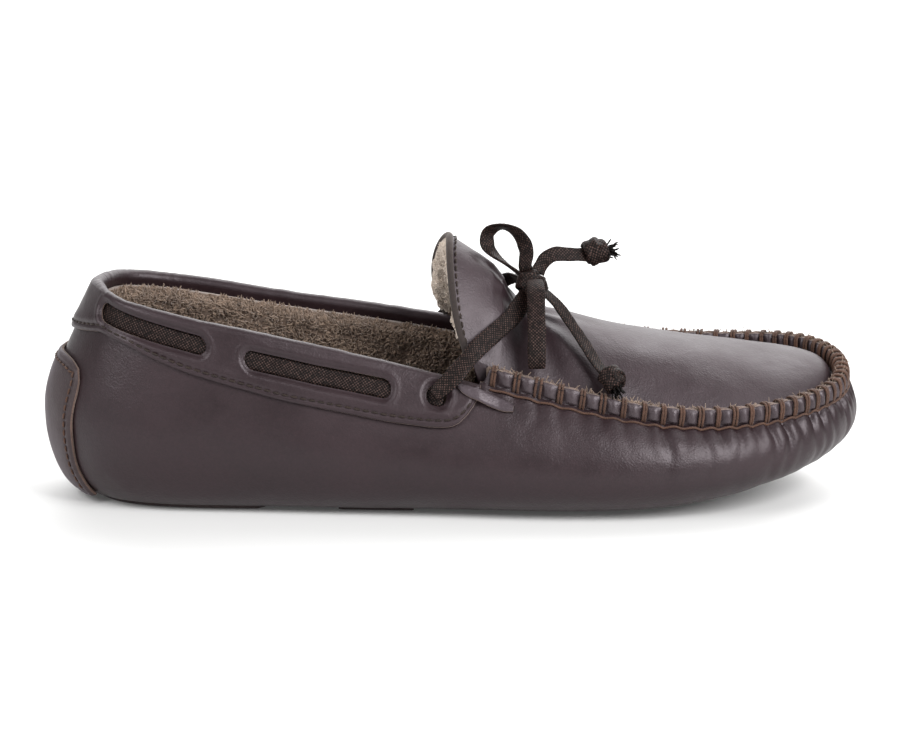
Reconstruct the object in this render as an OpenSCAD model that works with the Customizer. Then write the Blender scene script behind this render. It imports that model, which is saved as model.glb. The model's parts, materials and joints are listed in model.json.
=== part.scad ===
// Driving moccasin, right foot. +X toe, +Y medial side, +Z up, floor at z = 0. Millimetres.

/* [Leather] */
// thickness of the upper leather
leather = 1.6; // [1.2:0.1:2]
// height of the hand-sewn ridge round the apron
ridge_height = 5.5; // [4:0.5:7]
// width of the gap kept between neighbouring layers
gap = 0.3; // [0.2:0.05:0.5]

/* [Collar] */
// thickness of the collar leather
collar_leather = 1.4; // [1:0.1:1.8]
// how far the collar facing reaches down inside
facing_depth = 16; // [13:1:18]
// half height of the lace windows
window_half = 3.15; // [2.8:0.05:3.3]

/* [Fleece] */
// distance from the outside of the leather to the inner face of the wall fleece
fleece_face = 8; // [6:0.5:9]
// thickness of the fleece footbed
footbed_thick = 3.9; // [3:0.1:4]
// distance from the top of the tongue leather to the face of its fleece
tongue_fleece = 7; // [5:0.5:7.5]

/* [Lace] */
// width of the flat lace
lace_width = 6.3; // [5:0.1:6.5]
// thickness of the flat lace
lace_thick = 1.1; // [0.9:0.1:1.2]
// radius of the knot in the middle of the bow
knot_radius = 4.7; // [4:0.1:4.8]

/* [Sole] */
// thickness of the three sole pads
pad_thick = 1.8; // [1.5:0.1:1.8]

/* [Node] */
// which piece to draw

/* [Hidden] */
$fn = 24;

// the middle of the shoe's box sits on the origin
shift = [-1.55, -0.42, 0];

// stations round the shoe from the middle of the heel past the lateral side and the toe:
// x, y of the widest line, its height, inset of the bottom edge, inset of the top edge,
// height of the top edge, roundness of the upper wall
STATIONS = [
    [-142, 0, 32, 14, 17.5, 76.5, 0],
    [-135, -20, 31, 14, 18, 77, 0],
    [-118, -34, 29, 12, 10, 74.5, 0],
    [-90, -38, 26, 10, 8, 69, 0],
    [-56, -39, 23, 11, 9, 62, 0],
    [-22, -42, 20, 12, 13, 54, 0.1],
    [12, -46, 18, 14, 15, 46, 0.4],
    [46, -49, 17, 15, 14, 37.5, 0.8],
    [78, -47, 17, 15, 12, 31.5, 1],
    [106, -39, 19, 15, 8, 31, 1],
    [128, -25, 23, 15, 5, 33, 1],
    [142, -8, 27, 15, 4, 35, 1],
    [146, 9, 28, 15, 4, 38, 1],
    [142, 26, 27, 15, 4, 41, 1],
    [128, 40, 24, 14, 5, 43, 1],
    [104, 48, 20, 13, 9, 42, 1],
    [74, 50, 18, 13, 12, 43, 1],
    [42, 46, 18, 13, 13, 47, 0.8],
    [8, 40, 20, 12, 10, 55, 0.4],
    [-26, 36, 22, 11, 7, 61, 0.1],
    [-60, 36, 25, 10, 7, 65.5, 0],
    [-94, 37, 28, 10, 7, 71.5, 0],
    [-120, 33, 30, 12, 10, 75, 0],
    [-135, 19, 31, 14, 18, 77, 0]];
LOW = 0.42;

// crown height of the apron at stations 5 to 13
CROWN = [80, 72, 60, 54, 50, 47, 44.5, 36, 28];
// depth of the lace tunnel's middle below the topline, by station from the heel
TUNNEL = [[0, 6.5], [1.6, 6.5], [3.2, 8.6], [3.7, 9.8], [4.3, 10], [5, 9.2], [5.5, 7.5], [6, 7]];
// height of the collar's lower edge, by station from the heel
COLLAR_LOW = [[0, 58.7], [1, 60.5], [1.7, 62], [2.2, 59], [3, 50.2], [4, 41], [5, 34.6],
    [5.5, 32.6], [5.75, 33.2], [5.9, 37]];
// columns of the collar, from the middle of the heel to its front end
HALF = [0.333, 0.667, 1, 1.333, 1.6, 1.72, 1.9, 2.2, 2.5, 2.8, 3.05, 3.17, 3.4, 3.62, 3.74,
    4, 4.3, 4.6, 4.9, 5.02, 5.2, 5.42, 5.58, 5.75, 5.9];
COLS = concat([for (i = [24:-1:0]) -HALF[i]], [0], HALF);

function zbot(x) = pad_thick + 10 * pow(max(0, x - 42) / 80, 2.4);
function bs(t) = [pow(1 - t, 3) / 6, (3 * t * t * t - 6 * t * t + 4) / 6,
    (-3 * t * t * t + 3 * t * t + 3 * t + 1) / 6, t * t * t / 6];
function ds(t) = [-(1 - t) * (1 - t) / 2, (3 * t * t - 4 * t) / 2,
    (-3 * t * t + 2 * t + 1) / 2, t * t / 2];
function st(i) = STATIONS[((i % 24) + 24) % 24];
function mixst(w, k) = w[0] * st(k - 1) + w[1] * st(k) + w[2] * st(k + 1) + w[3] * st(k + 2);
function unit(v) = v / norm(v);
// one column of the wall: its station values and the inward direction in plan
function column(u) = let(k = floor(u), d = mixst(ds(u - k), k), m = norm([d[0], d[1]]))
    [mixst(bs(u - k), k), [-d[1] / m, d[0] / m], u];
function lean(s, e) = (1 - e) * (sqrt(s * s + 0.09) - 0.3) / (sqrt(1.09) - 0.3)
    + e * (1 - sqrt(1 - 0.8464 * s * s)) / (1 - sqrt(1 - 0.8464));
// a point of the wall at v = 0..1 from bottom to top, moved out by off and up the wall by up
function pt(c, v, off, up = 0) = let(
    Q = c[0], n = c[1], zb = zbot(Q[0] + n[0] * Q[3]), low = v < LOW,
    a = 90 * v / LOW, s = (v - LOW) / (1 - LOW),
    i1 = low ? Q[3] * (1 - sin(a)) : Q[4] * lean(s, Q[6]),
    z1 = low ? zb + (Q[2] - zb) * (1 - cos(a)) : Q[2] + (Q[5] - Q[2]) * s,
    ti = low ? -Q[3] * cos(a) : Q[4] * (lean(s + 0.002, Q[6]) - lean(s - 0.002, Q[6])) / 0.004,
    tz = low ? (Q[2] - zb) * sin(a) : Q[5] - Q[2],
    m = norm([ti, tz]), i2 = i1 + (up * ti - off * tz) / m, z2 = z1 + (off * ti + up * tz) / m)
    [Q[0] + n[0] * i2, Q[1] + n[1] * i2, z2];
// the v of a height on the upper wall
function vz(c, z) = LOW + (1 - LOW) * (z - c[0][2]) / (c[0][5] - c[0][2]);
// a point beside the top edge: inset from it and height above it
function rp(c, ins, dz) = let(Q = c[0], n = c[1], i = Q[4] + ins)
    [Q[0] + n[0] * i, Q[1] + n[1] * i, Q[5] + dz];
// a point of the bottom layers at an inset from the widest line, dz above the sole line
function bp(c, ins, dz) = let(Q = c[0], n = c[1], x = Q[0] + n[0] * ins)
    [x, Q[1] + n[1] * ins, zbot(x) + dz];
function smooth(a, b, x) = let(t = min(1, max(0, (x - a) / (b - a)))) t * t * (3 - 2 * t);

// faces of a sheet with an outer grid T and an inner grid B, n by m points each
function tri2(a, b, c, d) = [[a, b, c], [a, c, d]];
function flat1(l) = [for (a = l) for (b = a) b];
module sheet(T, B, closed = false, holes = [], bowl = false) {
    n = len(T);
    m = len(T[0]);
    o = n * m;
    last = closed ? n : n - 1;
    solid = [for (i = [0:last - 1]) [for (j = [0:m - 2]) len([for (h = holes)
        if (i >= h[0] && i <= h[1] && j >= h[2] && j <= h[3]) 1]) == 0]];
    faces = flat1([for (i = [0:last - 1]) for (j = [0:m - 2]) if (solid[i][j]) let(
        k = (i + 1) % n,
        a = i * m + j, b = i * m + j + 1, c = k * m + j + 1, d = k * m + j,
        left = !closed && i == 0 || !closed && i > 0 && !solid[i - 1][j],
        right = !closed && i == last - 1 || !closed && i < last - 1 && !solid[i + 1][j],
        under = j == 0 && !bowl || j > 0 && !solid[i][j - 1],
        over = j == m - 2 || j < m - 2 && !solid[i][j + 1])
        concat(tri2(a, b, c, d), tri2(o + d, o + c, o + b, o + a),
            left ? tri2(b, a, o + a, o + b) : [],
            right ? tri2(d, c, o + c, o + d) : [],
            under ? tri2(a, d, o + d, o + a) : [],
            over ? tri2(c, b, o + b, o + c) : [])]);
    floor1 = bowl ? zipper(n, m, 0, 0, true) : [];
    floor2 = bowl ? zipper(n, m, 0, o, false) : [];
    polyhedron(points = concat(flat1(T), flat1(B)), faces = concat(faces, floor1, floor2));
}
// closes a ring of points by strips from the lateral to the medial side
function zipper(n, m, j, o, down) = flat1([for (i = [0:n / 2 - 1]) let(
    a = o + i * m + j, b = o + (i + 1) * m + j,
    c = o + (n - i - 1) % n * m + j, d = o + (n - i) % n * m + j,
    t = i == 0 ? [[a, b, c]] : i == n / 2 - 1 ? [[a, b, d]] : [[a, b, c], [a, c, d]])
    [for (f = t) down ? f : [f[2], f[1], f[0]]]]);
// a plate whose edge is the ring grid R, closed over the top and under the bottom
module plate(R) {
    n = len(R);
    m = len(R[0]);
    faces = flat1([for (i = [0:n - 1]) for (j = [0:m - 2]) let(k = (i + 1) % n)
        tri2(i * m + j, i * m + j + 1, k * m + j + 1, k * m + j)]);
    polyhedron(points = flat1(R),
        faces = concat(faces, zipper(n, m, 0, 0, true), zipper(n, m, m - 1, 0, false)));
}
// a rod through rings of s points each
module rod(R) {
    n = len(R);
    s = len(R[0]);
    sides = flat1([for (k = [0:n - 2]) for (j = [0:s - 1]) let(l = (j + 1) % s)
        tri2((k + 1) * s + l, (k + 1) * s + j, k * s + j, k * s + l)]);
    polyhedron(points = flat1(R), faces = concat(sides, [[for (j = [0:s - 1]) (n - 1) * s + j]],
        [[for (j = [s - 1:-1:0]) j]]));
}
function cat(a, b, c, d, t) = 0.5 * (2 * b + (c - a) * t + (2 * a - 5 * b + 4 * c - d) * t * t
    + (3 * b - a - 3 * c + d) * t * t * t);
// a smooth line through hand-set points, sub steps between neighbours
function curve(P, sub) = let(n = len(P)) [for (i = [0:n - 2]) for (k = [0:sub - 1])
    cat(P[max(0, i - 1)], P[i], P[i + 1], P[min(n - 1, i + 2)], k / sub)];
function full(P, sub) = concat(curve(P, sub), [P[len(P) - 1]]);
function v3(p) = [p[0], p[1], p[2]];
function way(P, i) = unit(v3(P[min(len(P) - 1, i + 1)]) - v3(P[max(0, i - 1)]));
FLAT = [[0.5, 0.15], [0.42, 0.5], [-0.42, 0.5], [-0.5, 0.15], [-0.5, -0.15], [-0.42, -0.5],
    [0.42, -0.5], [0.5, -0.15]];
// a flat lace along a route of x, y, z and the way its face looks
module lace(route, w = lace_width) {
    P = full(route, 3);
    rod([for (i = [0:len(P) - 1]) let(
        t = way(P, i), f = [P[i][3], P[i][4], P[i][5]], g = unit(f - (f * t) * t),
        h = cross(t, g))
        [for (a = FLAT) v3(P[i]) + a[0] * w * h + a[1] * lace_thick * g]]);
}
// a thin round thread through points
module thread(P, r, up = [0, 0, 1]) {
    rod([for (i = [0:len(P) - 1]) let(
        t = way(P, i), g = unit(up - (up * t) * t), h = cross(t, g))
        [for (a = [45, 135, 225, 315]) P[i] + r * cos(a) * h + r * sin(a) * g]]);
}

// ---- the wrapper: vamp and quarters in one piece, drawn under the foot ----
RINGU = concat([for (i = [0:17]) i / 3], [5.85], [for (i = [18:54]) i / 3], [18.15],
    [for (i = [55:71]) i / 3]);
RING = [for (u = RINGU) column(u)];
function heelside(u) = min(u, 24 - u);
function ridge_rise(u) = heelside(u) < 5.9 ? 0 : 1;
function collar_low(u) = lookup(heelside(abs(u)), COLLAR_LOW);
function wall_rows(c, off) = let(
    s = heelside(c[2]), quarter = s < 5.9, z = collar_low(c[2]),
    top = quarter ? vz(c, z + 2) : 1)
    concat([for (v = [0:0.07:0.36]) pt(c, v, off)], [pt(c, LOW - 0.0001, off)],
    [for (f = [0.25, 0.5, 0.75]) pt(c, LOW + (top - LOW) * f, off)],
    quarter ? [pt(c, top, off), pt(c, vz(c, z + 3), off)]
    : [off < 0 ? rp(c, leather, -leather * 0.9) : pt(c, 1, 0),
        rp(c, -off, ridge_height * ridge_rise(c[2]))]);
module wrapper() {
    color("#4a3a36") sheet([for (c = RING) wall_rows(c, 0)], [for (c = RING) wall_rows(c, -leather)],
        closed = true, bowl = true);
}

// ---- the apron: plug of the toe with its own upright edge ----
// its first row carries the upright edge alone, beside the fold of the tongue
AROWS = concat([6.02], [for (i = [19:35]) i / 3], [11.88]);
function crown(u) = let(k = floor(u), w = bs(u - k), i = k - 5)
    w[0] * CROWN[max(0, i - 1)] + w[1] * CROWN[i] + w[2] * CROWN[i + 1] + w[3] * CROWN[min(8, i + 2)];
// a point of the apron between its lateral edge (r = -1) and its medial edge (r = 1)
function ap(u, r, off) = let(
    a = rp(column(u), 4.6, 0.2), b = rp(column(24 - u), 4.6, 0.2),
    w = norm([b[0] - a[0], b[1] - a[1]]), h = crown(u) - (a[2] + b[2]) / 2,
    dir = [b[0] - a[0], b[1] - a[1], 0] / w, p = a + (b - a) * (r + 1) / 2,
    slope = (b[2] - a[2]) / w - 2 * h * 2.2 * pow(abs(r), 1.2) * sign(r) / w,
    m = sqrt(1 + slope * slope))
    p + [0, 0, h * (1 - pow(abs(r), 2.2))] + off * (-slope * dir + [0, 0, 1]) / m;
function edge_in(u, ins, dz) = rp(column(u), ins, dz);
module apron() {
    R = [for (j = [-6:6]) sin(j * 15)];
    in = 2 * leather + gap;
    top = ridge_height - 0.2;
    T = [for (u = AROWS) concat([edge_in(u, in, top), edge_in(u, in, 1.2)],
        [for (r = R) ap(u, r, 0)], [edge_in(24 - u, in, 1.2), edge_in(24 - u, in, top)])];
    B = [for (u = AROWS) concat([edge_in(u, leather + gap, top), edge_in(u, leather + gap, -1.2)],
        [for (r = R) ap(u, r, -leather)],
        [edge_in(24 - u, leather + gap, -1.2), edge_in(24 - u, leather + gap, top)])];
    color("#54423d") sheet(T, B, holes = [[0, 0, 1, 14]]);
}
module apron_lining() {
    R = [for (j = [-5:5]) 0.84 * sin(j * 18)];
    rows = [for (i = [20:34]) i / 3];
    T = [for (u = rows) [for (r = R) ap(u, r, -leather - gap)]];
    B = [for (u = rows) [for (r = R) ap(u, r, -leather - gap - 3.3)]];
    color("#8d8172") sheet(T, B);
}
// ---- the collar: folded strip with the lace tunnel, its windows and its facing ----
function tunnel(u) = lookup(abs(u), TUNNEL);
function pinch(u) = let(s = abs(u)) (s > 1.55 && s < 1.65) || (s > 3.1 && s < 3.2)
    || (s > 3.6 && s < 3.7) || (s > 5 && s < 5.1) ? 1.5 : window_half;
function collar_rows(c, thick) = let(
    u = c[2], Q = c[0], zt = Q[5], zl = collar_low(u), zm = zt - tunnel(u), hh = pinch(u),
    zr = zt - 2.5, out = thick ? gap + collar_leather : gap, r = thick ? 2.5 : 2.5 - collar_leather,
    in = thick ? -3.3 : -3.3 + collar_leather)
    concat([for (z = [zl, (zl + zm - hh) / 2, zm - hh, zm, zm + hh]) pt(c, vz(c, z), out)],
    [for (a = [0, 45, 90, 135, 180]) pt(c, vz(c, zr), -0.8 + r * cos(a), r * sin(a))],
    [for (f = [0.35, 0.65, 1]) pt(c, vz(c, zt - 2.5 - (facing_depth - 2.5) * f), in)]);
module collar() {
    C = [for (u = COLS) column(u)];
    // both windows and the lace hole, counted in columns from the medial front end
    cells = [[5, 9], [14, 19]];
    holes = concat([for (w = [[2, 2], [5, 9], [13, 18]]) [w[0], w[1], 2, 3]],
        [for (w = [[2, 2], [5, 9], [13, 18]]) [49 - w[1], 49 - w[0], 2, 3]]);
    color("#45353a") sheet([for (c = C) collar_rows(c, true)], [for (c = C) collar_rows(c, false)],
        holes = holes);
}
module lace_run() {
    us = [for (u = COLS) if (abs(u) < 5.4) u];
    color("#2c2422") rod([for (u = us) let(c = column(u), v = vz(c, c[0][5] - tunnel(u)))
        [for (a = FLAT) pt(c, v, -0.8 - a[1] * lace_thick, a[0] * lace_width)]]);
}
// ---- heel pieces ----
function patch_rows(u, off, top) = let(c = column(u))
    concat([for (v = [0.1, 0.17, 0.24, 0.31, 0.38, LOW]) pt(c, v, off)],
    [for (f = [0.35, 0.7, 1]) pt(c, LOW + (vz(c, top) - LOW) * f, off)]);
PATCH = [-1.34, -1.2, -1, -0.667, -0.333, 0, 0.333, 0.667, 1, 1.2, 1.34];
module heel_patch() {
    T = [for (u = PATCH) patch_rows(u, gap + leather, abs(u) > 1.3 ? 49.5 : 51.5)];
    B = [for (u = PATCH) patch_rows(u, gap, abs(u) > 1.3 ? 49.5 : 51.5)];
    color("#43322f") sheet(T, B);
}
module heel_counter() {
    us = [for (i = [-8:8]) i / 3];
    rows = [0.28, 0.35, LOW];
    T = [for (u = us) let(c = column(u), top = vz(c, c[0][5] - facing_depth - 2.5))
        concat([for (v = rows) pt(c, v, -leather - gap)],
        [for (f = [0.33, 0.67, 1]) pt(c, LOW + (top - LOW) * f, -leather - gap)])];
    B = [for (u = us) let(c = column(u), top = vz(c, c[0][5] - facing_depth - 2.5))
        concat([for (v = rows) pt(c, v, -3.3)],
        [for (f = [0.33, 0.67, 1]) pt(c, LOW + (top - LOW) * f, -3.3)])];
    color("#8a6b4a") sheet(T, B);
}
// ---- fleece ----
function back_of(u, f) = -leather - gap - 1.7 * max(1 - smooth(2.7, 3.6, abs(u)), smooth(0.1, 0.5, f));
module lining_quarters() {
    us = [for (i = [-18:18]) i / 3];
    rows = [0.21, 0.28, 0.35, LOW];
    up = [0.2, 0.4, 0.6, 0.8, 1];
    T = [for (u = us) let(c = column(u), top = vz(c, c[0][5] - 7))
        concat([for (v = rows) pt(c, v, back_of(u, 0))],
        [for (f = up) pt(c, LOW + (top - LOW) * f, back_of(u, f))])];
    B = [for (u = us) let(c = column(u), top = vz(c, c[0][5] - 7))
        concat([for (v = rows) pt(c, v, -fleece_face)],
        [for (f = up) pt(c, LOW + (top - LOW) * f, -fleece_face)])];
    color("#8d8172") sheet(T, B);
}
module lining_forepart() {
    us = concat([6.1], [for (i = [19:53]) i / 3], [17.9]);
    rows = [0.21, 0.28, 0.35, LOW, 0.565, 0.71, 0.84];
    T = [for (u = us) let(c = column(u)) [for (v = rows) pt(c, v, -leather - gap)]];
    B = [for (u = us) let(c = column(u)) [for (v = rows) pt(c, v, -leather - gap - 4)]];
    color("#8d8172") sheet(T, B);
}
module insole_board() {
    color("#b09468") plate([for (c = RING) [bp(c, c[0][3] - 0.9, 2), bp(c, c[0][3] - 0.9, 3.7)]]);
}
module footbed() {
    color("#8f8475") plate([for (c = RING) let(i = 5 + 0.3 * c[0][3])
        [bp(c, i, 4), bp(c, i, 6.6), bp(c, i + 1.6, 4 + footbed_thick)]]);
}
// ---- sole pads ----
OUT = [for (c = RING) let(p = bp(c, c[0][3] + 1, 0)) [p[0], p[1]]];
module heel_pad() {
    color("#2e2422") linear_extrude(pad_thick) intersection() {
        polygon(OUT);
        translate([-90, 0]) circle(36);
    }
}
module waist_pad() {
    color("#2e2422") linear_extrude(pad_thick) intersection() {
        polygon(OUT);
        translate([-25, 0]) square([26, 100], center = true);
    }
}
module forefoot_pad() {
    xs = [6, 8, 12, 20, 30, 42, 50, 58, 66, 74, 82, 88, 92, 94];
    hw = [16, 19, 22, 25, 27.5, 29, 29.5, 29.5, 28.5, 26.5, 23, 19, 15, 11];
    cy = [-1, -1, -1, -1, -0.5, 0, 0.5, 1, 2, 3, 4, 5, 5.5, 6];
    T = [for (i = [0:13]) [for (j = [-1:0.5:1]) [xs[i], cy[i] + j * hw[i], zbot(xs[i]) - 0.12]]];
    B = [for (i = [0:13]) [for (j = [-1:0.5:1]) [xs[i], cy[i] + j * hw[i], zbot(xs[i]) - pad_thick]]];
    color("#2e2422") sheet(T, B);
}
// ---- side tabs: ends of the apron's edge lying on the wrapper below the first stitches ----
module side_tab(side) {
    // each row: station, upper and lower edge below the topline, height of the underside
    rows = [[5.71, 3.2, 3.9, 2.05], [5.76, 2.8, 5, 2.05], [5.84, 2.8, 5.8, 2.05], [5.93, 2.9, 6.2, 2.05],
        [6.02, 3, 6.5, 1], [6.12, 3.2, 6.7, 0.35], [6.2, 3.5, 6.6, 0.35], [6.27, 4.3, 6, 0.35]];
    order = side > 0 ? rows : [for (i = [7:-1:2]) rows[i]];
    grid = [for (r = order) let(c = column(side * r[0]), z = c[0][5])
        [for (t = [0, 1.1]) [for (f = [1, 0.5, 0])
            pt(c, vz(c, z - r[1] - (r[2] - r[1]) * f), r[3] + t)]]];
    sheet([for (g = grid) g[1]], [for (g = grid) g[0]]);
}
module side_tab_lateral() {
    color("#6b5850") side_tab(1);
}
module side_tab_medial() {
    color("#6b5850") side_tab(-1);
}
// ---- stitching ----
STITCHES = [for (i = [0:51]) 6.06 + i * 11.88 / 51];
module apron_stitches() {
    o = 0.85;
    in = 2 * leather + gap + o;
    color("#5a3427") for (u = STITCHES) {
        c = column(u);
        thread([rp(c, -o, 0.9), rp(c, -o, ridge_height - 0.3), rp(c, 0.4, ridge_height + o),
            rp(c, in - 1.3, ridge_height + o), rp(c, in, ridge_height - 0.6), rp(c, in, 1.9)],
            0.42, up = [-c[1][1], c[1][0], 0.01]);
    }
}
module seam_thread() {
    us = concat([6.42], [for (i = [26:70]) i / 4], [17.58]);
    color("#5a3427") thread([for (u = us) pt(column(u), 0.955, 0.85)], 0.4);
}
module collar_stitches() {
    us = [for (u = COLS) if (abs(u) < 5.6) u];
    color("#5a3427") thread([for (u = us) let(c = column(u)) pt(c, vz(c, collar_low(u) + 2), 2.3)], 0.35);
}
module heel_patch_stitches() {
    vs = [0.16, 0.24, 0.31, 0.38, LOW, 0.5, 0.57];
    side = [for (v = vs) pt(column(-1.17), v, 2.5)];
    other = [for (i = [6:-1:0]) pt(column(1.17), vs[i], 2.5)];
    across = [for (u = [-1.05, -0.8, -0.5, -0.25, 0, 0.25, 0.5, 0.8, 1.05]) let(c = column(u))
        pt(c, vz(c, 48.6), 2.5)];
    color("#5a3427") thread(concat(side, across, other), 0.35, up = [-1, 0, 0.02]);
}
// ---- the tongue: rear end of the apron, standing up over the instep ----
TCROWN = [[20.5, 71.5], [18.5, 76.5], [14.5, 80.7], [9.5, 84.3], [4, 87.8], [-2, 91.4], [-4, 92.6]];
// a point of the tongue: s = 0 at the fold, 1 at the rear edge; r = -1 lateral to 1 medial
function tg0(s, r) = let(
    k = max(0, min(5, floor(s * 5))), f = s * 5 - k, cc = TCROWN[k] + (TCROWN[k + 1] - TCROWN[k]) * f,
    a = [20, -26.2, 47.5] + s * [-16, -0.3, 7], b = [19, 25.2, 51] + s * [-15, 1.3, 7],
    t = (r + 1) / 2, base = a + (b - a) * t, k2 = pow(abs(r), 2.1))
    [cc[0] + (base[0] - cc[0]) * (0.3 * k2 + 0.7 * pow(abs(r), 6)) - 1.2 * s * (1 - k2) * abs(r),
        base[1], base[2] + (cc[1] - (a[2] + b[2]) / 2) * (1 - k2)]
        + [s * (2.8 - 7.5 * smooth(0, 0.9, r)), 0, 0];
function tg(s, r, off) = let(
    p = tg0(s, r), e = 0.01,
    ds1 = tg0(s + e, r) - tg0(s - e, r), dr = tg0(s, min(1, r + e)) - tg0(s, max(-1, r - e)))
    p + off * unit(cross(dr, ds1));
TR = [for (j = [-8:8]) sin(j * 90 / 8)];
module tongue() {
    ss = [1, 0.86, 0.7, 0.54, 0.36, 0.18, 0];
    T = [for (s = ss) [for (r = TR) tg(s, r, 0)]];
    B = [for (s = ss) [for (r = TR) tg(s, r, -leather)]];
    color("#54423d") sheet(T, B);
}
module tongue_binding() {
    ss = [1.11, 1.02];
    T = [for (s = ss) [for (r = TR) tg(s, r, 0.5)]];
    B = [for (s = ss) [for (r = TR) tg(s, r, -2.1)]];
    color("#3a2b27") sheet(T, B);
}
module tongue_lining() {
    ss = [0.97, 0.8, 0.62, 0.44, 0.26, 0.08];
    R = [for (j = [-6:6]) 0.9 * sin(j * 15)];
    T = [for (s = ss) [for (r = R) tg(s, r, -leather - gap)]];
    B = [for (s = ss) [for (r = R) tg(s, r, -tongue_fleece)]];
    color("#8d8172") sheet(T, B);
}
module tongue_stitches() {
    R = [for (j = [-8:8]) 0.96 * sin(j * 90 / 8)];
    color("#5a3427") thread([for (r = R) tg(0.9, r, 0.6)], 0.35, up = [1, 0, 0.3]);
}
// ---- the lace outside the collar, and the bow ----
KNOT = [29, -4, 74.6];
module lace_crossing_lateral() {
    color("#2c2422") lace([[-5, -38, 43.7, -0.1, -0.9, 0.4], [1, -36.5, 49, -0.1, -0.85, 0.5],
        [6, -32.5, 54, 0.1, -0.75, 0.65], [11, -27.5, 58.5, 0.3, -0.75, 0.6],
        [17, -22, 62.6, 0.4, -0.7, 0.6], [22, -17, 66, 0.4, -0.6, 0.7], [25.4, -11.5, 70, 0.5, -0.5, 0.7]]);
}
module lace_crossing_medial() {
    color("#2c2422") lace([[-4, 34.5, 53, -0.1, 0.9, 0.4], [2, 33, 58, -0.1, 0.85, 0.5],
        [7, 29, 62, 0.1, 0.75, 0.65], [12, 24, 66, 0.3, 0.7, 0.6], [17.5, 17, 70.5, 0.4, 0.6, 0.7],
        [22.5, 9.5, 74.2, 0.4, 0.4, 0.8], [26, 2.6, 75, 0.4, 0.3, 0.85]]);
}
module bow_knot() {
    color("#2c2422") translate(KNOT) {
        sphere(knot_radius);
        rotate([0, 35, 20]) rotate_extrude() translate([knot_radius - 0.6, 0]) circle(1.1);
    }
}
module bow_loop_rear() {
    color("#2c2422") lace([[26.6, -2.4, 80.9, 0.4, 0.8, 0.1], [27, 1, 86, 0.4, 0.9, 0.1],
        [24, 3, 91.2, 0.3, 0.8, 0.5], [18.6, 4.5, 93.4, -0.1, 0.5, 0.85],
        [14, 5, 91.2, -0.5, 0.85, 0.3], [13.6, 4, 87, -0.4, 0.75, -0.5], [16, 2.5, 83.8, -0.5, 0.3, -0.8],
        [19.8, 0, 81.2, -0.5, -0.1, -0.8], [23.2, -1.8, 79, -0.4, -0.3, -0.8]], w = 5.6);
}
module bow_loop_front() {
    color("#2c2422") lace([[29.8, -10.2, 77, 0, -0.3, 1], [30.1, -17, 74.5, 0, -0.5, 0.85],
        [30.1, -26, 65, 0, -0.8, 0.5], [30.1, -31, 56, 0, -1, 0.2], [30.1, -30.4, 51.4, 0, -0.4, -0.9],
        [30.1, -27, 55.5, 0, 0.9, -0.4], [30.1, -21.5, 63.5, 0, 0.8, -0.5],
        [30, -14.5, 70.3, 0, 0.6, -0.8], [29.8, -10, 72.6, 0, 0.5, -0.85]], w = 5.9);
}
module lace_end_near() {
    color("#2c2422") lace([[34.4, -7.4, 71.6, 0.5, -0.4, 0.8], [38, -10.5, 68.6, 0.5, -0.4, 0.7],
        [42, -14.5, 63.5, 0.5, -0.5, 0.6], [46.5, -19, 57.5, 0.5, -0.5, 0.6],
        [50, -23.5, 52.5, 0.5, -0.5, 0.6], [52.8, -27, 49.2, 0.5, -0.4, 0.7]], w = 5.8);
}
module end_knot_near() {
    color("#2c2422") translate([55.6, -30.4, 47.9]) {
        sphere(3.6);
        rotate([120, 0, 25]) cylinder(h = 7, r1 = 2, r2 = 3);
    }
}
module lace_end_far() {
    color("#2c2422") lace([[32, -0.4, 80.2, 0.3, -0.9, 0.2], [34, 0.6, 82.8, 0, -0.9, 0.3],
        [37.3, 1.7, 84.2, 0, -0.8, 0.5], [42, 3, 83.8, 0, -0.8, 0.5], [47, 4.5, 83.4, 0, -0.8, 0.5]], w = 5.4);
}
module end_knot_far() {
    color("#2c2422") translate([51.8, 6, 84]) {
        sphere(4.2);
        rotate([0, 80, 15]) cylinder(h = 8, r1 = 2, r2 = 4);
    }
}

translate(shift) {
    heel_pad();
    waist_pad();
    forefoot_pad();
    wrapper();
    apron();
    side_tab_lateral();
    side_tab_medial();
    collar();
    heel_patch();
    heel_counter();
    lining_quarters();
    lining_forepart();
    apron_lining();
    insole_board();
    footbed();
    apron_stitches();
    seam_thread();
    collar_stitches();
    heel_patch_stitches();
    tongue();
    tongue_binding();
    tongue_lining();
    tongue_stitches();
    lace_run();
    lace_crossing_lateral();
    lace_crossing_medial();
    bow_knot();
    bow_loop_rear();
    bow_loop_front();
    lace_end_near();
    end_knot_near();
    lace_end_far();
    end_knot_far();
}
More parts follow.
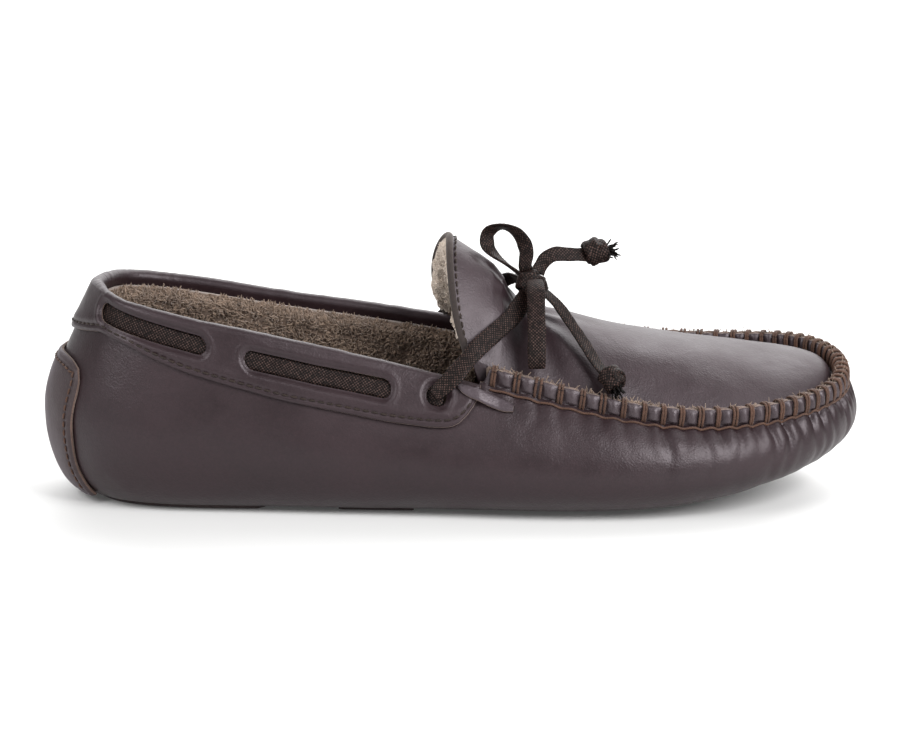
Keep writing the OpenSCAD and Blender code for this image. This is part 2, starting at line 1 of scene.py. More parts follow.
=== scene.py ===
import bpy
import json
import math
import numpy as np
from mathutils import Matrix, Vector

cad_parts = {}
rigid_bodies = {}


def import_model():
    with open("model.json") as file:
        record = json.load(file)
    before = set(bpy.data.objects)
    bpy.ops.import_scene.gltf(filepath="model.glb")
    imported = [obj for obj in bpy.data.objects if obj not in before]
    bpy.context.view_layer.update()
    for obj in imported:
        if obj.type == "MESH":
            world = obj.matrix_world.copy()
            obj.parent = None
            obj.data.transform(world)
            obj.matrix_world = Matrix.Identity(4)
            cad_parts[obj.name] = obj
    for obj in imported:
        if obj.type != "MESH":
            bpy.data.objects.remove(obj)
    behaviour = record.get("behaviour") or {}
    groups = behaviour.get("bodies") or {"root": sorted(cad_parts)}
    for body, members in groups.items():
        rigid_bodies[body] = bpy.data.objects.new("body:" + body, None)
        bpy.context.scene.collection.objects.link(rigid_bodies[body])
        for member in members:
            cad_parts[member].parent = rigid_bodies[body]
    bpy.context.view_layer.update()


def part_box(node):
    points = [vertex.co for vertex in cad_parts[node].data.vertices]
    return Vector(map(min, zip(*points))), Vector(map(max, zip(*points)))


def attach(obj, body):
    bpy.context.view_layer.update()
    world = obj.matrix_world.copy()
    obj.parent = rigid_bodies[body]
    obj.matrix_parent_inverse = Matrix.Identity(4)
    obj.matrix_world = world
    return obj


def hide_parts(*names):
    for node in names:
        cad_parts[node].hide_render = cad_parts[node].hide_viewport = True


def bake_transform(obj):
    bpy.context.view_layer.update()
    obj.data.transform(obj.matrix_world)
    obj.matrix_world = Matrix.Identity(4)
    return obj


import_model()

# ---------------------------------------------------------------- shape of the shoe, in millimetres
ST = np.array([
    [-142, 0, 32, 14, 17.5, 76.5, 0], [-135, -20, 31, 14, 18, 77, 0],
    [-118, -34, 29, 12, 10, 74.5, 0], [-90, -38, 26, 10, 8, 69, 0],
    [-56, -39, 23, 11, 9, 62, 0], [-22, -42, 20, 12, 13, 54, 0.1],
    [12, -46, 18, 14, 15, 46, 0.4], [46, -49, 17, 15, 14, 37.5, 0.8],
    [78, -47, 17, 15, 12, 31.5, 1], [106, -39, 19, 15, 8, 31, 1],
    [128, -25, 23, 15, 5, 33, 1], [142, -8, 27, 15, 4, 35, 1],
    [146, 9, 28, 15, 4, 38, 1], [142, 26, 27, 15, 4, 41, 1],
    [128, 40, 24, 14, 5, 43, 1], [104, 48, 20, 13, 9, 42, 1],
    [74, 50, 18, 13, 12, 43, 1], [42, 46, 18, 13, 13, 47, 0.8],
    [8, 40, 20, 12, 10, 55, 0.4], [-26, 36, 22, 11, 7, 61, 0.1],
    [-60, 36, 25, 10, 7, 65.5, 0], [-94, 37, 28, 10, 7, 71.5, 0],
    [-120, 33, 30, 12, 10, 75, 0], [-135, 19, 31, 14, 18, 77, 0]], float)
LOW = 0.42
PAD = 1.8
LEATHER = 1.6
RIDGE = 5.5
CROWN = np.array([80, 72, 60, 54, 50, 47, 44.5, 36, 28], float)
TUNNEL = np.array([[0, 6.5], [1.6, 6.5], [3.2, 8.6], [3.7, 9.8], [4.3, 10], [5, 9.2], [5.5, 7.5], [6, 7]])
COLLAR_LOW = np.array([[0, 58.7], [1, 60.5], [1.7, 62], [2.2, 59], [3, 50.2], [4, 41], [5, 34.6],
                       [5.5, 32.6], [5.75, 33.2], [5.9, 37]])
TCROWN = np.array([[20.5, 71.5], [18.5, 76.5], [14.5, 80.7], [9.5, 84.3], [4, 87.8], [-2, 91.4], [-4, 92.6]])
WEAVE = 1.15
RELIEF = 0.22
pi = math.pi


def weights(t):
    """weights of a uniform cubic B-spline"""
    return [(1 - t) ** 3 / 6, (3 * t ** 3 - 6 * t * t + 4) / 6,
            (-3 * t ** 3 + 3 * t * t + 3 * t + 1) / 6, t ** 3 / 6]


def bell(x, w):
    return np.exp(-(x / w) ** 2)


def ease(n):
    """n numbers from -1 to 1, closer together towards the ends"""
    return np.sin(np.linspace(-pi / 2, pi / 2, n))


def spl(tab, u, d=False):
    u = np.asarray(u, float)
    k = np.floor(u).astype(int)
    t = (u - k)[..., None]
    if d:
        w = [-(1 - t) ** 2 / 2, (3 * t * t - 4 * t) / 2, (-3 * t * t + 2 * t + 1) / 2, t * t / 2]
    else:
        w = weights(t)
    return sum(w[i] * tab[(k - 1 + i) % len(tab)] for i in range(4))


def smooth(a, b, x):
    t = np.clip((x - a) / (b - a), 0, 1)
    return t * t * (3 - 2 * t)


def zbot(x):
    return PAD + 10 * (np.maximum(0, x - 42) / 80) ** 2.4


def lean(s, e):
    return ((1 - e) * (np.sqrt(s * s + 0.09) - 0.3) / (math.sqrt(1.09) - 0.3)
            + e * (1 - np.sqrt(np.maximum(0, 1 - 0.8464 * s * s))) / (1 - math.sqrt(1 - 0.8464)))


def col(u):
    q = spl(ST, u)
    d = spl(ST[:, :2], u, True)
    n = np.stack([-d[..., 1], d[..., 0]], -1)
    return q, n / np.linalg.norm(n, axis=-1, keepdims=True)


def pt(u, v, off=0.0, up=0.0):
    """a point of the wall, v 0..1 from bottom to top, moved outwards by off and up the wall by up"""
    u, v, off, up = np.broadcast_arrays(*[np.asarray(a, float) for a in (u, v, off, up)])
    q, n = col(u)
    x, y, zw, db, dt, zt, e = [q[..., i] for i in range(7)]
    zb = zbot(x + n[..., 0] * db)
    lo = v < LOW
    a = np.clip(v / LOW, 0, 1) * pi / 2
    s = (v - LOW) / (1 - LOW)
    i1 = np.where(lo, db * (1 - np.sin(a)), dt * lean(s, e))
    z1 = np.where(lo, zb + (zw - zb) * (1 - np.cos(a)), zw + (zt - zw) * s)
    ti = np.where(lo, -db * np.cos(a), dt * (lean(s + 0.002, e) - lean(s - 0.002, e)) / 0.004)
    tz = np.where(lo, (zw - zb) * np.sin(a), zt - zw)
    m = np.hypot(ti, tz)
    i2 = i1 + (up * ti - off * tz) / m
    z2 = z1 + (off * ti + up * tz) / m
    return np.stack([x + n[..., 0] * i2, y + n[..., 1] * i2, z2], -1)


def vz(u, z):
    q = spl(ST, u)
    return LOW + (1 - LOW) * (z - q[..., 2]) / (q[..., 5] - q[..., 2])


def ztop(u):
    return spl(ST, u)[..., 5]


def rp(u, ins, dz):
    q, n = col(u)
    i = q[..., 4] + ins
    return np.stack([q[..., 0] + n[..., 0] * i, q[..., 1] + n[..., 1] * i, q[..., 5] + dz], -1)


def bp(u, ins, dz):
    q, n = col(u)
    x = q[..., 0] + n[..., 0] * ins
    return np.stack([x, q[..., 1] + n[..., 1] * ins, zbot(x) + dz], -1)


def side(u):
    u = np.abs(u)
    return np.minimum(u, 24 - u)


def tunnel(u):
    return np.interp(side(u), TUNNEL[:, 0], TUNNEL[:, 1])


def collar_low(u):
    s = side(u)
    k = np.array([-0.12, -0.06, 0, 0.06, 0.12])
    low = sum(np.interp(np.abs(s + a), COLLAR_LOW[:, 0], COLLAR_LOW[:, 1]) for a in k) / 5
    return low + 6.5 * (np.clip(s - 5.64, 0, 0.3) / 0.29) ** 2.6


def crown(u):
    u = np.asarray(u, float)
    k = np.floor(u).astype(int)
    t = u - k
    w = weights(t)
    return sum(w[i] * CROWN[np.clip(k - 6 + i, 0, 8)] for i in range(4))


def ap(u, r, off=0.0):
    """a point of the apron, r -1 lateral to 1 medial"""
    u, r, off = np.broadcast_arrays(*[np.asarray(a, float) for a in (u, r, off)])
    a, b = rp(u, 4.6, 0.2), rp(24 - u, 4.6, 0.2)
    w = np.hypot(b[..., 0] - a[..., 0], b[..., 1] - a[..., 1])
    h = crown(u) - (a[..., 2] + b[..., 2]) / 2
    dr = np.stack([(b[..., 0] - a[..., 0]) / w, (b[..., 1] - a[..., 1]) / w, 0 * w], -1)
    p = a + (b - a) * ((r + 1) / 2)[..., None]
    sl = (b[..., 2] - a[..., 2]) / w - 2 * h * 2.2 * np.abs(r) ** 1.2 * np.sign(r) / w
    m = np.sqrt(1 + sl * sl)
    p = p + (off / m)[..., None] * (-sl[..., None] * dr)
    p[..., 2] += h * (1 - np.abs(r) ** 2.2) + off / m
    return p


def tg0(s, r):
    s, r = np.broadcast_arrays(np.asarray(s, float), np.asarray(r, float))
    k = np.clip(np.floor(s * 5).astype(int), 0, 5)
    f = (s * 5 - k)[..., None]
    cc = TCROWN[k] + (TCROWN[k + 1] - TCROWN[k]) * f
    a = np.array([20, -26.2, 47.5]) + s[..., None] * np.array([-16, -0.3, 7])
    b = np.array([19, 25.2, 51]) + s[..., None] * np.array([-15, 1.3, 7])
    base = a + (b - a) * ((r + 1) / 2)[..., None]
    k2 = np.abs(r) ** 2.1
    x = cc[..., 0] + (base[..., 0] - cc[..., 0]) * (0.3 * k2 + 0.7 * np.abs(r) ** 6)
    x = x - 1.2 * s * (1 - k2) * np.abs(r)
    x = x + s * (2.8 - 7.5 * smooth(0, 0.9, r))
    z = base[..., 2] + (cc[..., 1] - (a[..., 2] + b[..., 2]) / 2) * (1 - k2)
    return np.stack([x, base[..., 1], z], -1)


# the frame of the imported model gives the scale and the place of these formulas
RU = np.sort(np.concatenate([np.arange(72) / 3, [5.85, 18.15]]))
_w = pt(RU, LOW - 0.0001)
_lo, _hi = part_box("wrapper")
K = (_hi.x - _lo.x) / (_w[:, 0].max() - _w[:, 0].min())
_y = (_lo.y + _hi.y) / 2 - K * (_w[:, 1].max() + _w[:, 1].min()) / 2
SH = np.array([_lo.x - K * _w[:, 0].min(), _y, _lo.z - K * PAD])


def row(p):
    """millimetres of the formulas to metres of the row frame"""
    return np.asarray(p, float) * K + SH


# ---------------------------------------------------------------- camera, light and floor
def look(obj, target):
    obj.rotation_mode = "QUATERNION"
    obj.rotation_quaternion = (Vector(target) - obj.location).to_track_quat("-Z", "Y")


scene = bpy.context.scene
cam = bpy.data.objects.new("camera", bpy.data.cameras.new("camera"))
scene.collection.objects.link(cam)
scene.camera = cam
_e = math.radians(14.0)
_t = Vector(row([0.5, 0, 43.5]))
cam.location = _t + Vector((0, -math.cos(_e), math.sin(_e))) * 1050 * K
look(cam, _t)
cam.data.sensor_width = 36
cam.data.lens = 119.6
cam.data.clip_start = 0.05
cam.data.clip_end = 20


# ---------------------------------------------------------------- mesh helpers
def new_mesh(name, verts, faces, mats, fmat=None, uv=None):
    """a mesh piece from vertices in millimetres; faces is a list of index arrays (quads and triangles)"""
    me = bpy.data.meshes.new(name)
    v = row(np.asarray(verts, float).reshape(-1, 3))
    faces = [np.asarray(f, np.int64) for f in faces if len(f)]
    loops = np.concatenate([f.ravel() for f in faces])
    sizes = np.concatenate([np.full(len(f), f.shape[1]) for f in faces])
    starts = np.concatenate([[0], np.cumsum(sizes)[:-1]])
    me.vertices.add(len(v))
    me.vertices.foreach_set("co", v.ravel())
    me.loops.add(len(loops))
    me.loops.foreach_set("vertex_index", loops)
    me.polygons.add(len(sizes))
    me.polygons.foreach_set("loop_start", starts)
    me.polygons.foreach_set("loop_total", sizes)
    me.polygons.foreach_set("use_smooth", np.full(len(sizes), True))
    for m in mats:
        me.materials.append(m)
    if fmat is not None:
        me.polygons.foreach_set("material_index", np.asarray(fmat, np.int32))
    if uv is not None:
        lay = me.uv_layers.new(name="uv")
        lay.data.foreach_set("uv", np.asarray(uv, float)[loops].ravel())
    me.update(calc_edges=True)
    me.validate()
    ob = bpy.data.objects.new(name, me)
    scene.collection.objects.link(ob)
    return ob


def quads(n, m, wrap=False, base=0, keep=None):
    """outward faces of a grid, first index to the right and second index up as seen from outside"""
    i = np.arange(n if wrap else n - 1)
    j = np.arange(m - 1)
    I, J = np.meshgrid(i, j, indexing="ij")
    if keep is not None:
        I, J = I[keep], J[keep]
    I, J = I.ravel(), J.ravel()
    L = (I + 1) % n
    return base + np.stack([I * m + J, L * m + J, L * m + J + 1, I * m + J + 1], 1)


def walls(F, o):
    """faces that join the open border of F to the same border o vertices on"""
    E = np.concatenate([F[:, [k, (k + 1) % F.shape[1]]] for k in range(F.shape[1])])
    E = E[E[:, 0] != E[:, 1]]
    big = E.max() + 1
    key = E[:, 0] * big + E[:, 1]
    rev = E[:, 1] * big + E[:, 0]
    B = E[~np.isin(key, rev)]
    return np.stack([B[:, 1], B[:, 0], B[:, 0] + o, B[:, 1] + o], 1)


def shell(name, T, B, mats, wrap=False, keep=None, edge=0, under=0):
    """closed sheet from an outer grid T and an inner grid B of the same size"""
    n, m = T.shape[:2]
    o = n * m
    F = quads(n, m, wrap, 0, keep)
    W = walls(F, o)
    G = F[:, ::-1] + o
    V = np.concatenate([T.reshape(-1, 3), B.reshape(-1, 3)])
    used = np.unique(F)
    used = np.concatenate([used, used + o])
    idx = np.full(2 * o, -1)
    idx[used] = np.arange(len(used))
    fm = np.concatenate([np.zeros(len(F)), np.full(len(G), under), np.full(len(W), edge)])
    return new_mesh(name, V[used], [idx[np.concatenate([F, G, W])]], mats, fm)


def normals(P, wrap=False):
    a = (np.roll(P, -1, 0) - np.roll(P, 1, 0)) if wrap else np.gradient(P, axis=0)
    n = np.cross(a, np.gradient(P, axis=1))
    return n / np.maximum(1e-9, np.linalg.norm(n, axis=-1, keepdims=True))


def noise(P, size, seed=0, octaves=2):
    """smooth value noise at points P (millimetres), about -1..1"""
    P = np.asarray(P, float)
    out, amp, tot = np.zeros(P.shape[:-1]), 1.0, 0.0
    for o in range(octaves):
        q = P / (size / 2 ** o) + 37.3 * (seed + o)
        k = np.floor(q).astype(np.int64)
        f = q - k
        f = f * f * (3 - 2 * f)
        g = (1 - f, f)
        acc = 0
        for dx, dy, dz in np.ndindex(2, 2, 2):
            h = (k[..., 0] + dx) * 374761393 + (k[..., 1] + dy) * 668265263
            h = h + (k[..., 2] + dz) * 2147483647 + seed * 144665
            h = (h ^ (h >> 13)) * 1274126177
            val = ((h ^ (h >> 16)) & 0xFFFF) / 32767.5 - 1
            acc = acc + g[dx][..., 0] * g[dy][..., 1] * g[dz][..., 2] * val
        out += amp * acc
        tot += amp
        amp *= 0.5
    return out / tot


def cat(P, t):
    """Catmull-Rom through the rows of P at parameters t"""
    P = np.asarray(P, float)
    n = len(P)
    k = np.clip(np.floor(t).astype(int), 0, n - 2)
    f = (t - k).reshape((-1,) + (1,) * (P.ndim - 1))
    a, b, c, d = P[np.maximum(0, k - 1)], P[k], P[k + 1], P[np.minimum(n - 1, k + 2)]
    return 0.5 * (2 * b + (c - a) * f + (2 * a - 5 * b + 4 * c - d) * f * f
                  + (3 * b - a - 3 * c + d) * f ** 3)


def resample(P, step):
    """points every step millimetres along a dense line P, whose first three columns are the place"""
    d = np.concatenate([[0], np.cumsum(np.linalg.norm(np.diff(P[:, :3], axis=0), axis=1))])
    n = max(2, int(round(d[-1] / step)) + 1)
    s = np.linspace(0, d[-1], n)
    return np.stack([np.interp(s, d, P[:, k]) for k in range(P.shape[1])], 1), s


def along(P):
    """unit directions of a line of points"""
    t = np.gradient(P, axis=0)
    return t / np.linalg.norm(t, axis=1, keepdims=True)


def pipe_faces(n, m):
    """sides of n rings of m points, and two fans that close the ends on points n * m and n * m + 1"""
    i, j = np.meshgrid(np.arange(n - 1), np.arange(m), indexing="ij")
    i, j = i.ravel(), j.ravel()
    k = (j + 1) % m
    F = np.stack([i * m + j, i * m + k, (i + 1) * m + k, (i + 1) * m + j], 1)
    a = np.arange(m)
    b, last = (a + 1) % m, (n - 1) * m
    return F, np.concatenate([np.stack([np.full(m, n * m), b, a], 1),
                              np.stack([np.full(m, n * m + 1), last + a, last + b], 1)])


def tubes(name, lines, radius, material, sides=8, step=0.45, twist=1.5, plies=3, taper=False):
    """twisted thread along each line of points; one piece"""
    V, Q, T, base = [], [], [], 0
    th = np.arange(sides) * 2 * pi / sides
    for L in lines:
        P, s = resample(np.asarray(L, float), step)
        t = along(P)
        g = np.cross(t, [0.13, 0.31, 0.94])
        g /= np.linalg.norm(g, axis=1, keepdims=True)
        h = np.cross(t, g)
        lay = plies * (th[None, :] - s[:, None] * twist / radius * 0.6)
        r = radius * (1 + (0.16 * np.cos(lay) if plies else 0))
        if taper:
            r = r * np.clip(np.minimum(s, s[-1] - s) / (1.2 * radius), 0.35, 1)[:, None] ** 0.5
        spoke = np.cos(th)[None, :, None] * g[:, None] + np.sin(th)[None, :, None] * h[:, None]
        ring = P[:, None] + r[..., None] * spoke
        F, ends = pipe_faces(len(P), sides)
        V += [ring.reshape(-1, 3), P[[0, -1]]]
        Q.append(base + F)
        T.append(base + ends)
        base += len(P) * sides + 2
    return new_mesh(name, np.concatenate(V), [np.concatenate(Q), np.concatenate(T)], [material])


# ---------------------------------------------------------------- materials
def mat(name):
    m = bpy.data.materials.new(name)
    m.use_nodes = True
    nt = m.node_tree
    nt.nodes.clear()
    out = nt.nodes.new("ShaderNodeOutputMaterial")
    b = nt.nodes.new("ShaderNodeBsdfPrincipled")
    nt.links.new(b.outputs[0], out.inputs[0])
    return m, nt, b


def plug(nt, n, ins):
    for k, v in ins.items():
        if isinstance(v, bpy.types.NodeSocket):
            nt.links.new(v, n.inputs[k])
        else:
            n.inputs[k].default_value = v
    return n


def node(nt, kind, ins=None, **props):
    n = nt.nodes.new(kind)
    for k, v in props.items():
        setattr(n, k, v)
    return plug(nt, n, ins or {})


def coords(nt):
    return nt.nodes.new("ShaderNodeTexCoord").outputs["Object"]


def tex(nt, co, scale, detail, rough=0.5, **more):
    ins = {"Vector": co, "Scale": scale, "Detail": detail, "Roughness": rough, **more}
    return node(nt, "ShaderNodeTexNoise", ins).outputs


def calc(nt, op, a, b=0.5):
    return node(nt, "ShaderNodeMath", {0: a, 1: b}, operation=op).outputs[0]


def remap(nt, value, lo, hi, a, b):
    ins = {"Value": value, "From Min": lo, "From Max": hi, "To Min": a, "To Max": b}
    return node(nt, "ShaderNodeMapRange", ins).outputs[0]


def raised(nt, height, strength, distance, **more):
    ins = {"Height": height, "Strength": strength, "Distance": distance, **more}
    return node(nt, "ShaderNodeBump", ins).outputs[0]


def rgba(c):
    return (c[0], c[1], c[2], 1)


def ramp(nt, fac, stops):
    n = nt.nodes.new("ShaderNodeValToRGB")
    nt.links.new(fac, n.inputs[0])
    el = n.color_ramp.elements
    el[0].position, el[0].color = stops[0][0], rgba(stops[0][1])
    el[1].position, el[1].color = stops[-1][0], rgba(stops[-1][1])
    for p, c in stops[1:-1]:
        e = el.new(p)
        e.color = rgba(c)
    return n.outputs[0]


def mottle(nt, co, coarse, fine):
    """a coarse and a fine noise, and the mean of both"""
    big, small = tex(nt, co, *coarse)[0], tex(nt, co, *fine)[0]
    return big, small, calc(nt, "MULTIPLY", calc(nt, "ADD", big, small), 0.5)


def leather(name, dark, light, rough=0.5, grain=1.1, depth=0.06, spec=0.5, sheen=0.1, coat=0.0, wrinkle=0.25):
    m, nt, b = mat(name)
    co = coords(nt)
    big, _, mean = mottle(nt, co, (45.0, 4.0, 0.6), (900.0, 3.0, 0.6))
    warp = {0: tex(nt, co, 500.0, 1.0)["Color"], 1: (0.0007, 0.0007, 0.0007)}
    shift = node(nt, "ShaderNodeVectorMath", warp, operation="MULTIPLY").outputs[0]
    pos = node(nt, "ShaderNodeVectorMath", {0: co, 1: shift}, operation="ADD").outputs[0]
    cell = node(nt, "ShaderNodeTexVoronoi", {"Vector": pos, "Scale": 1000.0 / grain},
                feature="DISTANCE_TO_EDGE")
    pore = calc(nt, "MINIMUM", calc(nt, "MULTIPLY", cell.outputs[0], 3.0), 1.0)
    crease = raised(nt, tex(nt, co, 130.0, 5.0, 0.65, Distortion=0.6)[0], wrinkle, 0.0011)
    plug(nt, b, {
        "Base Color": ramp(nt, mean, [(0.32, dark), (0.7, light)]),
        "Roughness": remap(nt, big, 0.3, 0.7, rough - 0.06, rough + 0.08),
        "Normal": raised(nt, pore, 0.55, depth * 0.001, Normal=crease),
        "Specular IOR Level": spec, "Specular Tint": (1, 0.9, 0.96, 1), "Sheen Weight": sheen,
        "Sheen Roughness": 0.5, "Sheen Tint": (0.75, 0.62, 0.78, 1),
        "Coat Weight": coat, "Coat Roughness": 0.36})
    return m


def fibrous(name, dark, light, rough=0.9, scale=900.0, bump=0.0002, sheen=0.3):
    m, nt, b = mat(name)
    _, fine, mean = mottle(nt, coords(nt), (120.0, 5.0, 0.7), (scale, 4.0, 0.75))
    plug(nt, b, {
        "Base Color": ramp(nt, mean, [(0.34, dark), (0.66, light)]), "Normal": raised(nt, fine, 0.7, bump),
        "Roughness": rough, "Specular IOR Level": 0.25, "Sheen Weight": sheen,
        "Sheen Roughness": 0.6, "Sheen Tint": (0.9, 0.8, 0.75, 1)})
    return m


def lace_mat(name):
    """flat diagonal weave, from uv in mm along and across; its colour is painted shade in the gaps between strands and
    a painted highlight on their crests
    """
    m, nt, b = mat(name)
    co = coords(nt)
    sep = node(nt, "ShaderNodeSeparateXYZ", {0: node(nt, "ShaderNodeUVMap", uv_map="uv").outputs[0]})
    h = []
    for op in ("ADD", "SUBTRACT"):
        a = calc(nt, "MULTIPLY", calc(nt, op, sep.outputs[0], sep.outputs[1]), pi / WEAVE)
        h.append(calc(nt, "ABSOLUTE", calc(nt, "SINE", a)))
    cell = calc(nt, "MULTIPLY", *h)
    # darkest in the gaps between strands (painted shade), lightest on the crests (painted highlight), with glints of
    # random strength
    weave_shade_and_glint = calc(nt, "MULTIPLY", cell, remap(nt, tex(nt, co, 900.0, 3.0)[0], 0.35, 0.7, 0.5, 1.35))
    stops = [(0.08, (0.002, 0.0011, 0.0009)), (0.45, (0.0095, 0.0048, 0.0042)), (0.95, (0.068, 0.04, 0.034))]
    plug(nt, b, {
        "Base Color": ramp(nt, weave_shade_and_glint, stops), "Normal": raised(nt, cell, 0.7, 0.00015),
        "Roughness": remap(nt, tex(nt, co, 160.0, 3.0)[0], 0.3, 0.7, 0.42, 0.6), "Specular IOR Level": 0.13})
    return m


SMOOTH = {"sheen": 0.0, "coat": 0.1}
UPPER = leather("upper_leather", (0.008, 0.0028, 0.0036), (0.0175, 0.0072, 0.009), 0.45, spec=0.46, **SMOOTH)
APRON = leather("apron_leather", (0.011, 0.0045, 0.0058), (0.022, 0.0105, 0.0132), 0.45, **SMOOTH)
# ridge leather: the upper's leather painted lighter where the ridge faces the lamps, a painted highlight
RIDGE_LIT = leather("ridge_leather_painted_highlight", (0.02, 0.0125, 0.0145), (0.043, 0.031, 0.035), 0.42, **SMOOTH)
# side tab leather: the upper's leather painted much lighter to stand in for the highlight on the tabs, a painted
# highlight
TAB_LIT = leather("tab_leather_painted_highlight", (0.03, 0.021, 0.025), (0.062, 0.047, 0.054), 0.42, **SMOOTH)
COLLAR = leather("collar_leather", (0.009, 0.0032, 0.0042), (0.019, 0.0085, 0.0105), 0.46, spec=0.46, **SMOOTH)
PATCH = leather("patch_leather", (0.017, 0.0105, 0.0095), (0.034, 0.0225, 0.021), 0.55, wrinkle=0.15)
SUEDE = fibrous("raw_edge", (0.045, 0.026, 0.021), (0.16, 0.1, 0.078), 0.85, 1400.0, 0.00012, 0.2)
FLESH = fibrous("flesh_side", (0.1, 0.07, 0.055), (0.2, 0.15, 0.12), 0.9, 1100.0, 0.0001, 0.2)
BIND = fibrous("binding_suede", (0.008, 0.005, 0.005), (0.026, 0.017, 0.015), 0.8, 1400.0, 0.00008, 0.25)
# the next four are two copies of one fleece colour: the lining fleece and its locks painted dark for the shade inside
# the shoe (painted shade), the tongue's fleece and its locks painted light where light falls on the tongue (painted
# light)
FLEECE_SHADED = fibrous("fleece", (0.048, 0.029, 0.02), (0.175, 0.118, 0.083), 0.9, 700.0, 0.0006, 0.5)
FLEECE_LIT = fibrous("tongue_fleece", (0.32, 0.25, 0.2), (0.66, 0.56, 0.47), 0.9, 700.0, 0.0006, 0.5)
TUFT_SHADED = fibrous("fleece_tuft_painted_shade", (0.066, 0.041, 0.028), (0.31, 0.222, 0.16), 0.9, 500.0, 0.0002, 0.4)
TUFT_LIT = fibrous("tongue_tuft_painted_light", (0.4, 0.32, 0.26), (0.85, 0.75, 0.65), 0.9, 500.0, 0.0002, 0.4)
THREAD = fibrous("waxed_thread", (0.026, 0.012, 0.008), (0.1, 0.046, 0.028), 0.6, 2500.0, 0.00006, 0.1)
THREAD_D = fibrous("machine_thread", (0.006, 0.004, 0.0035), (0.032, 0.019, 0.014), 0.6, 2500.0, 0.00005, 0.05)
SOLE = leather("sole_leather", (0.022, 0.016, 0.014), (0.045, 0.032, 0.028), 0.68, 0.8, 0.09, wrinkle=0.3)
BOARD = fibrous("insole_board", (0.3, 0.22, 0.14), (0.5, 0.38, 0.25), scale=1500.0, bump=0.0001)
COUNTER = fibrous("counter_board", (0.25, 0.18, 0.11), (0.42, 0.31, 0.2), scale=1500.0, bump=0.0001)
LACE = lace_mat("waxed_lace")


def done(ob, body, slot, *nodes):
    if nodes:
        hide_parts(*nodes)
    if body:
        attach(ob, body)
    return ob


# ---------------------------------------------------------------- laces first: routes as in the CAD model
ROUTES = {
    "lace_crossing_lateral": ([[-5, -38, 43.7, -0.1, -0.9, 0.4], [1, -36.5, 49, -0.1, -0.85, 0.5],
        [6, -32.5, 54, 0.1, -0.75, 0.65], [11, -27.5, 58.5, 0.3, -0.75, 0.6],
        [17, -22, 62.6, 0.4, -0.7, 0.6], [22, -17, 66, 0.4, -0.6, 0.7], [25.4, -11.5, 70, 0.5, -0.5, 0.7]], 6.3),
    "lace_crossing_medial": ([[-4, 34.5, 53, -0.1, 0.9, 0.4], [2, 33, 58, -0.1, 0.85, 0.5],
        [7, 29, 62, 0.1, 0.75, 0.65], [12, 24, 66, 0.3, 0.7, 0.6], [17.5, 17, 70.5, 0.4, 0.6, 0.7],
        [22.5, 9.5, 74.2, 0.4, 0.4, 0.8], [26, 2.6, 75, 0.4, 0.3, 0.85]], 6.3),
    "bow_loop_rear": ([[26.6, -2.4, 80.9, 0.4, 0.8, 0.1], [27, 1, 86, 0.4, 0.9, 0.1],
        [24, 3, 91.2, 0.3, 0.8, 0.5], [18.6, 4.5, 93.4, -0.1, 0.5, 0.85],
        [14, 5, 91.2, -0.5, 0.85, 0.3], [13.6, 4, 87, -0.4, 0.75, -0.5], [16, 2.5, 83.8, -0.5, 0.3, -0.8],
        [19.8, 0, 81.2, -0.5, -0.1, -0.8], [23.2, -1.8, 79, -0.4, -0.3, -0.8]], 5.6),
    "bow_loop_front": ([[29.8, -10.2, 77, 0, -0.3, 1], [30.1, -17, 74.5, 0, -0.5, 0.85],
        [30.1, -26, 65, 0, -0.8, 0.5], [30.1, -31, 56, 0, -1, 0.2], [30.1, -30.4, 51.4, 0, -0.4, -0.9],
        [30.1, -27, 55.5, 0, 0.9, -0.4], [30.1, -21.5, 63.5, 0, 0.8, -0.5],
        [30, -14.5, 70.3, 0, 0.6, -0.8], [29.8, -10, 72.6, 0, 0.5, -0.85]], 6.0),
    "lace_end_near": ([[34.4, -7.4, 71.6, 0.5, -0.4, 0.8], [38, -10.5, 68.6, 0.5, -0.4, 0.7],
        [42, -14.5, 63.5, 0.5, -0.5, 0.6], [46.5, -19, 57.5, 0.5, -0.5, 0.6],
        [50, -23.5, 52.5, 0.5, -0.5, 0.6], [52.8, -27, 49.2, 0.5, -0.4, 0.7]], 5.4),
    "lace_end_far": ([[32, -0.4, 80.2, 0.3, -0.9, 0.2], [34, 0.6, 82.8, 0, -0.9, 0.3],
        [37.3, 1.7, 84.2, 0, -0.8, 0.5], [42, 3, 83.8, 0, -0.8, 0.5], [47, 4.5, 83.4, 0, -0.8, 0.5]], 5.2),
}
KNOT = np.array([29, -4, 74.6])
# how far each stretch runs on at its start and at its end, into the bow knot or a stopper knot
REACH = {"lace_crossing_lateral": (0, 4.6), "lace_crossing_medial": (0, 2.4), "bow_loop_rear": (2.2, 2.6),
         "bow_loop_front": (2.6, 2.2), "lace_end_near": (2.4, 2.0), "lace_end_far": (2.4, 1.5)}


def braid(s, t, p=WEAVE):
    """height of a flat diagonal weave at s along and t across, 0..1"""
    a, b = (s + t) / p, (s - t) / p
    fa, fb = a - np.floor(a), b - np.floor(b)
    par = (np.floor(a) + np.floor(b)) % 2
    h1 = np.sqrt(np.sin(pi * fb)) * (0.55 + 0.45 * np.sin(pi * fa))
    h2 = np.sqrt(np.sin(pi * fa)) * (0.55 + 0.45 * np.sin(pi * fb))
    return np.where(par > 0, h1, h2)


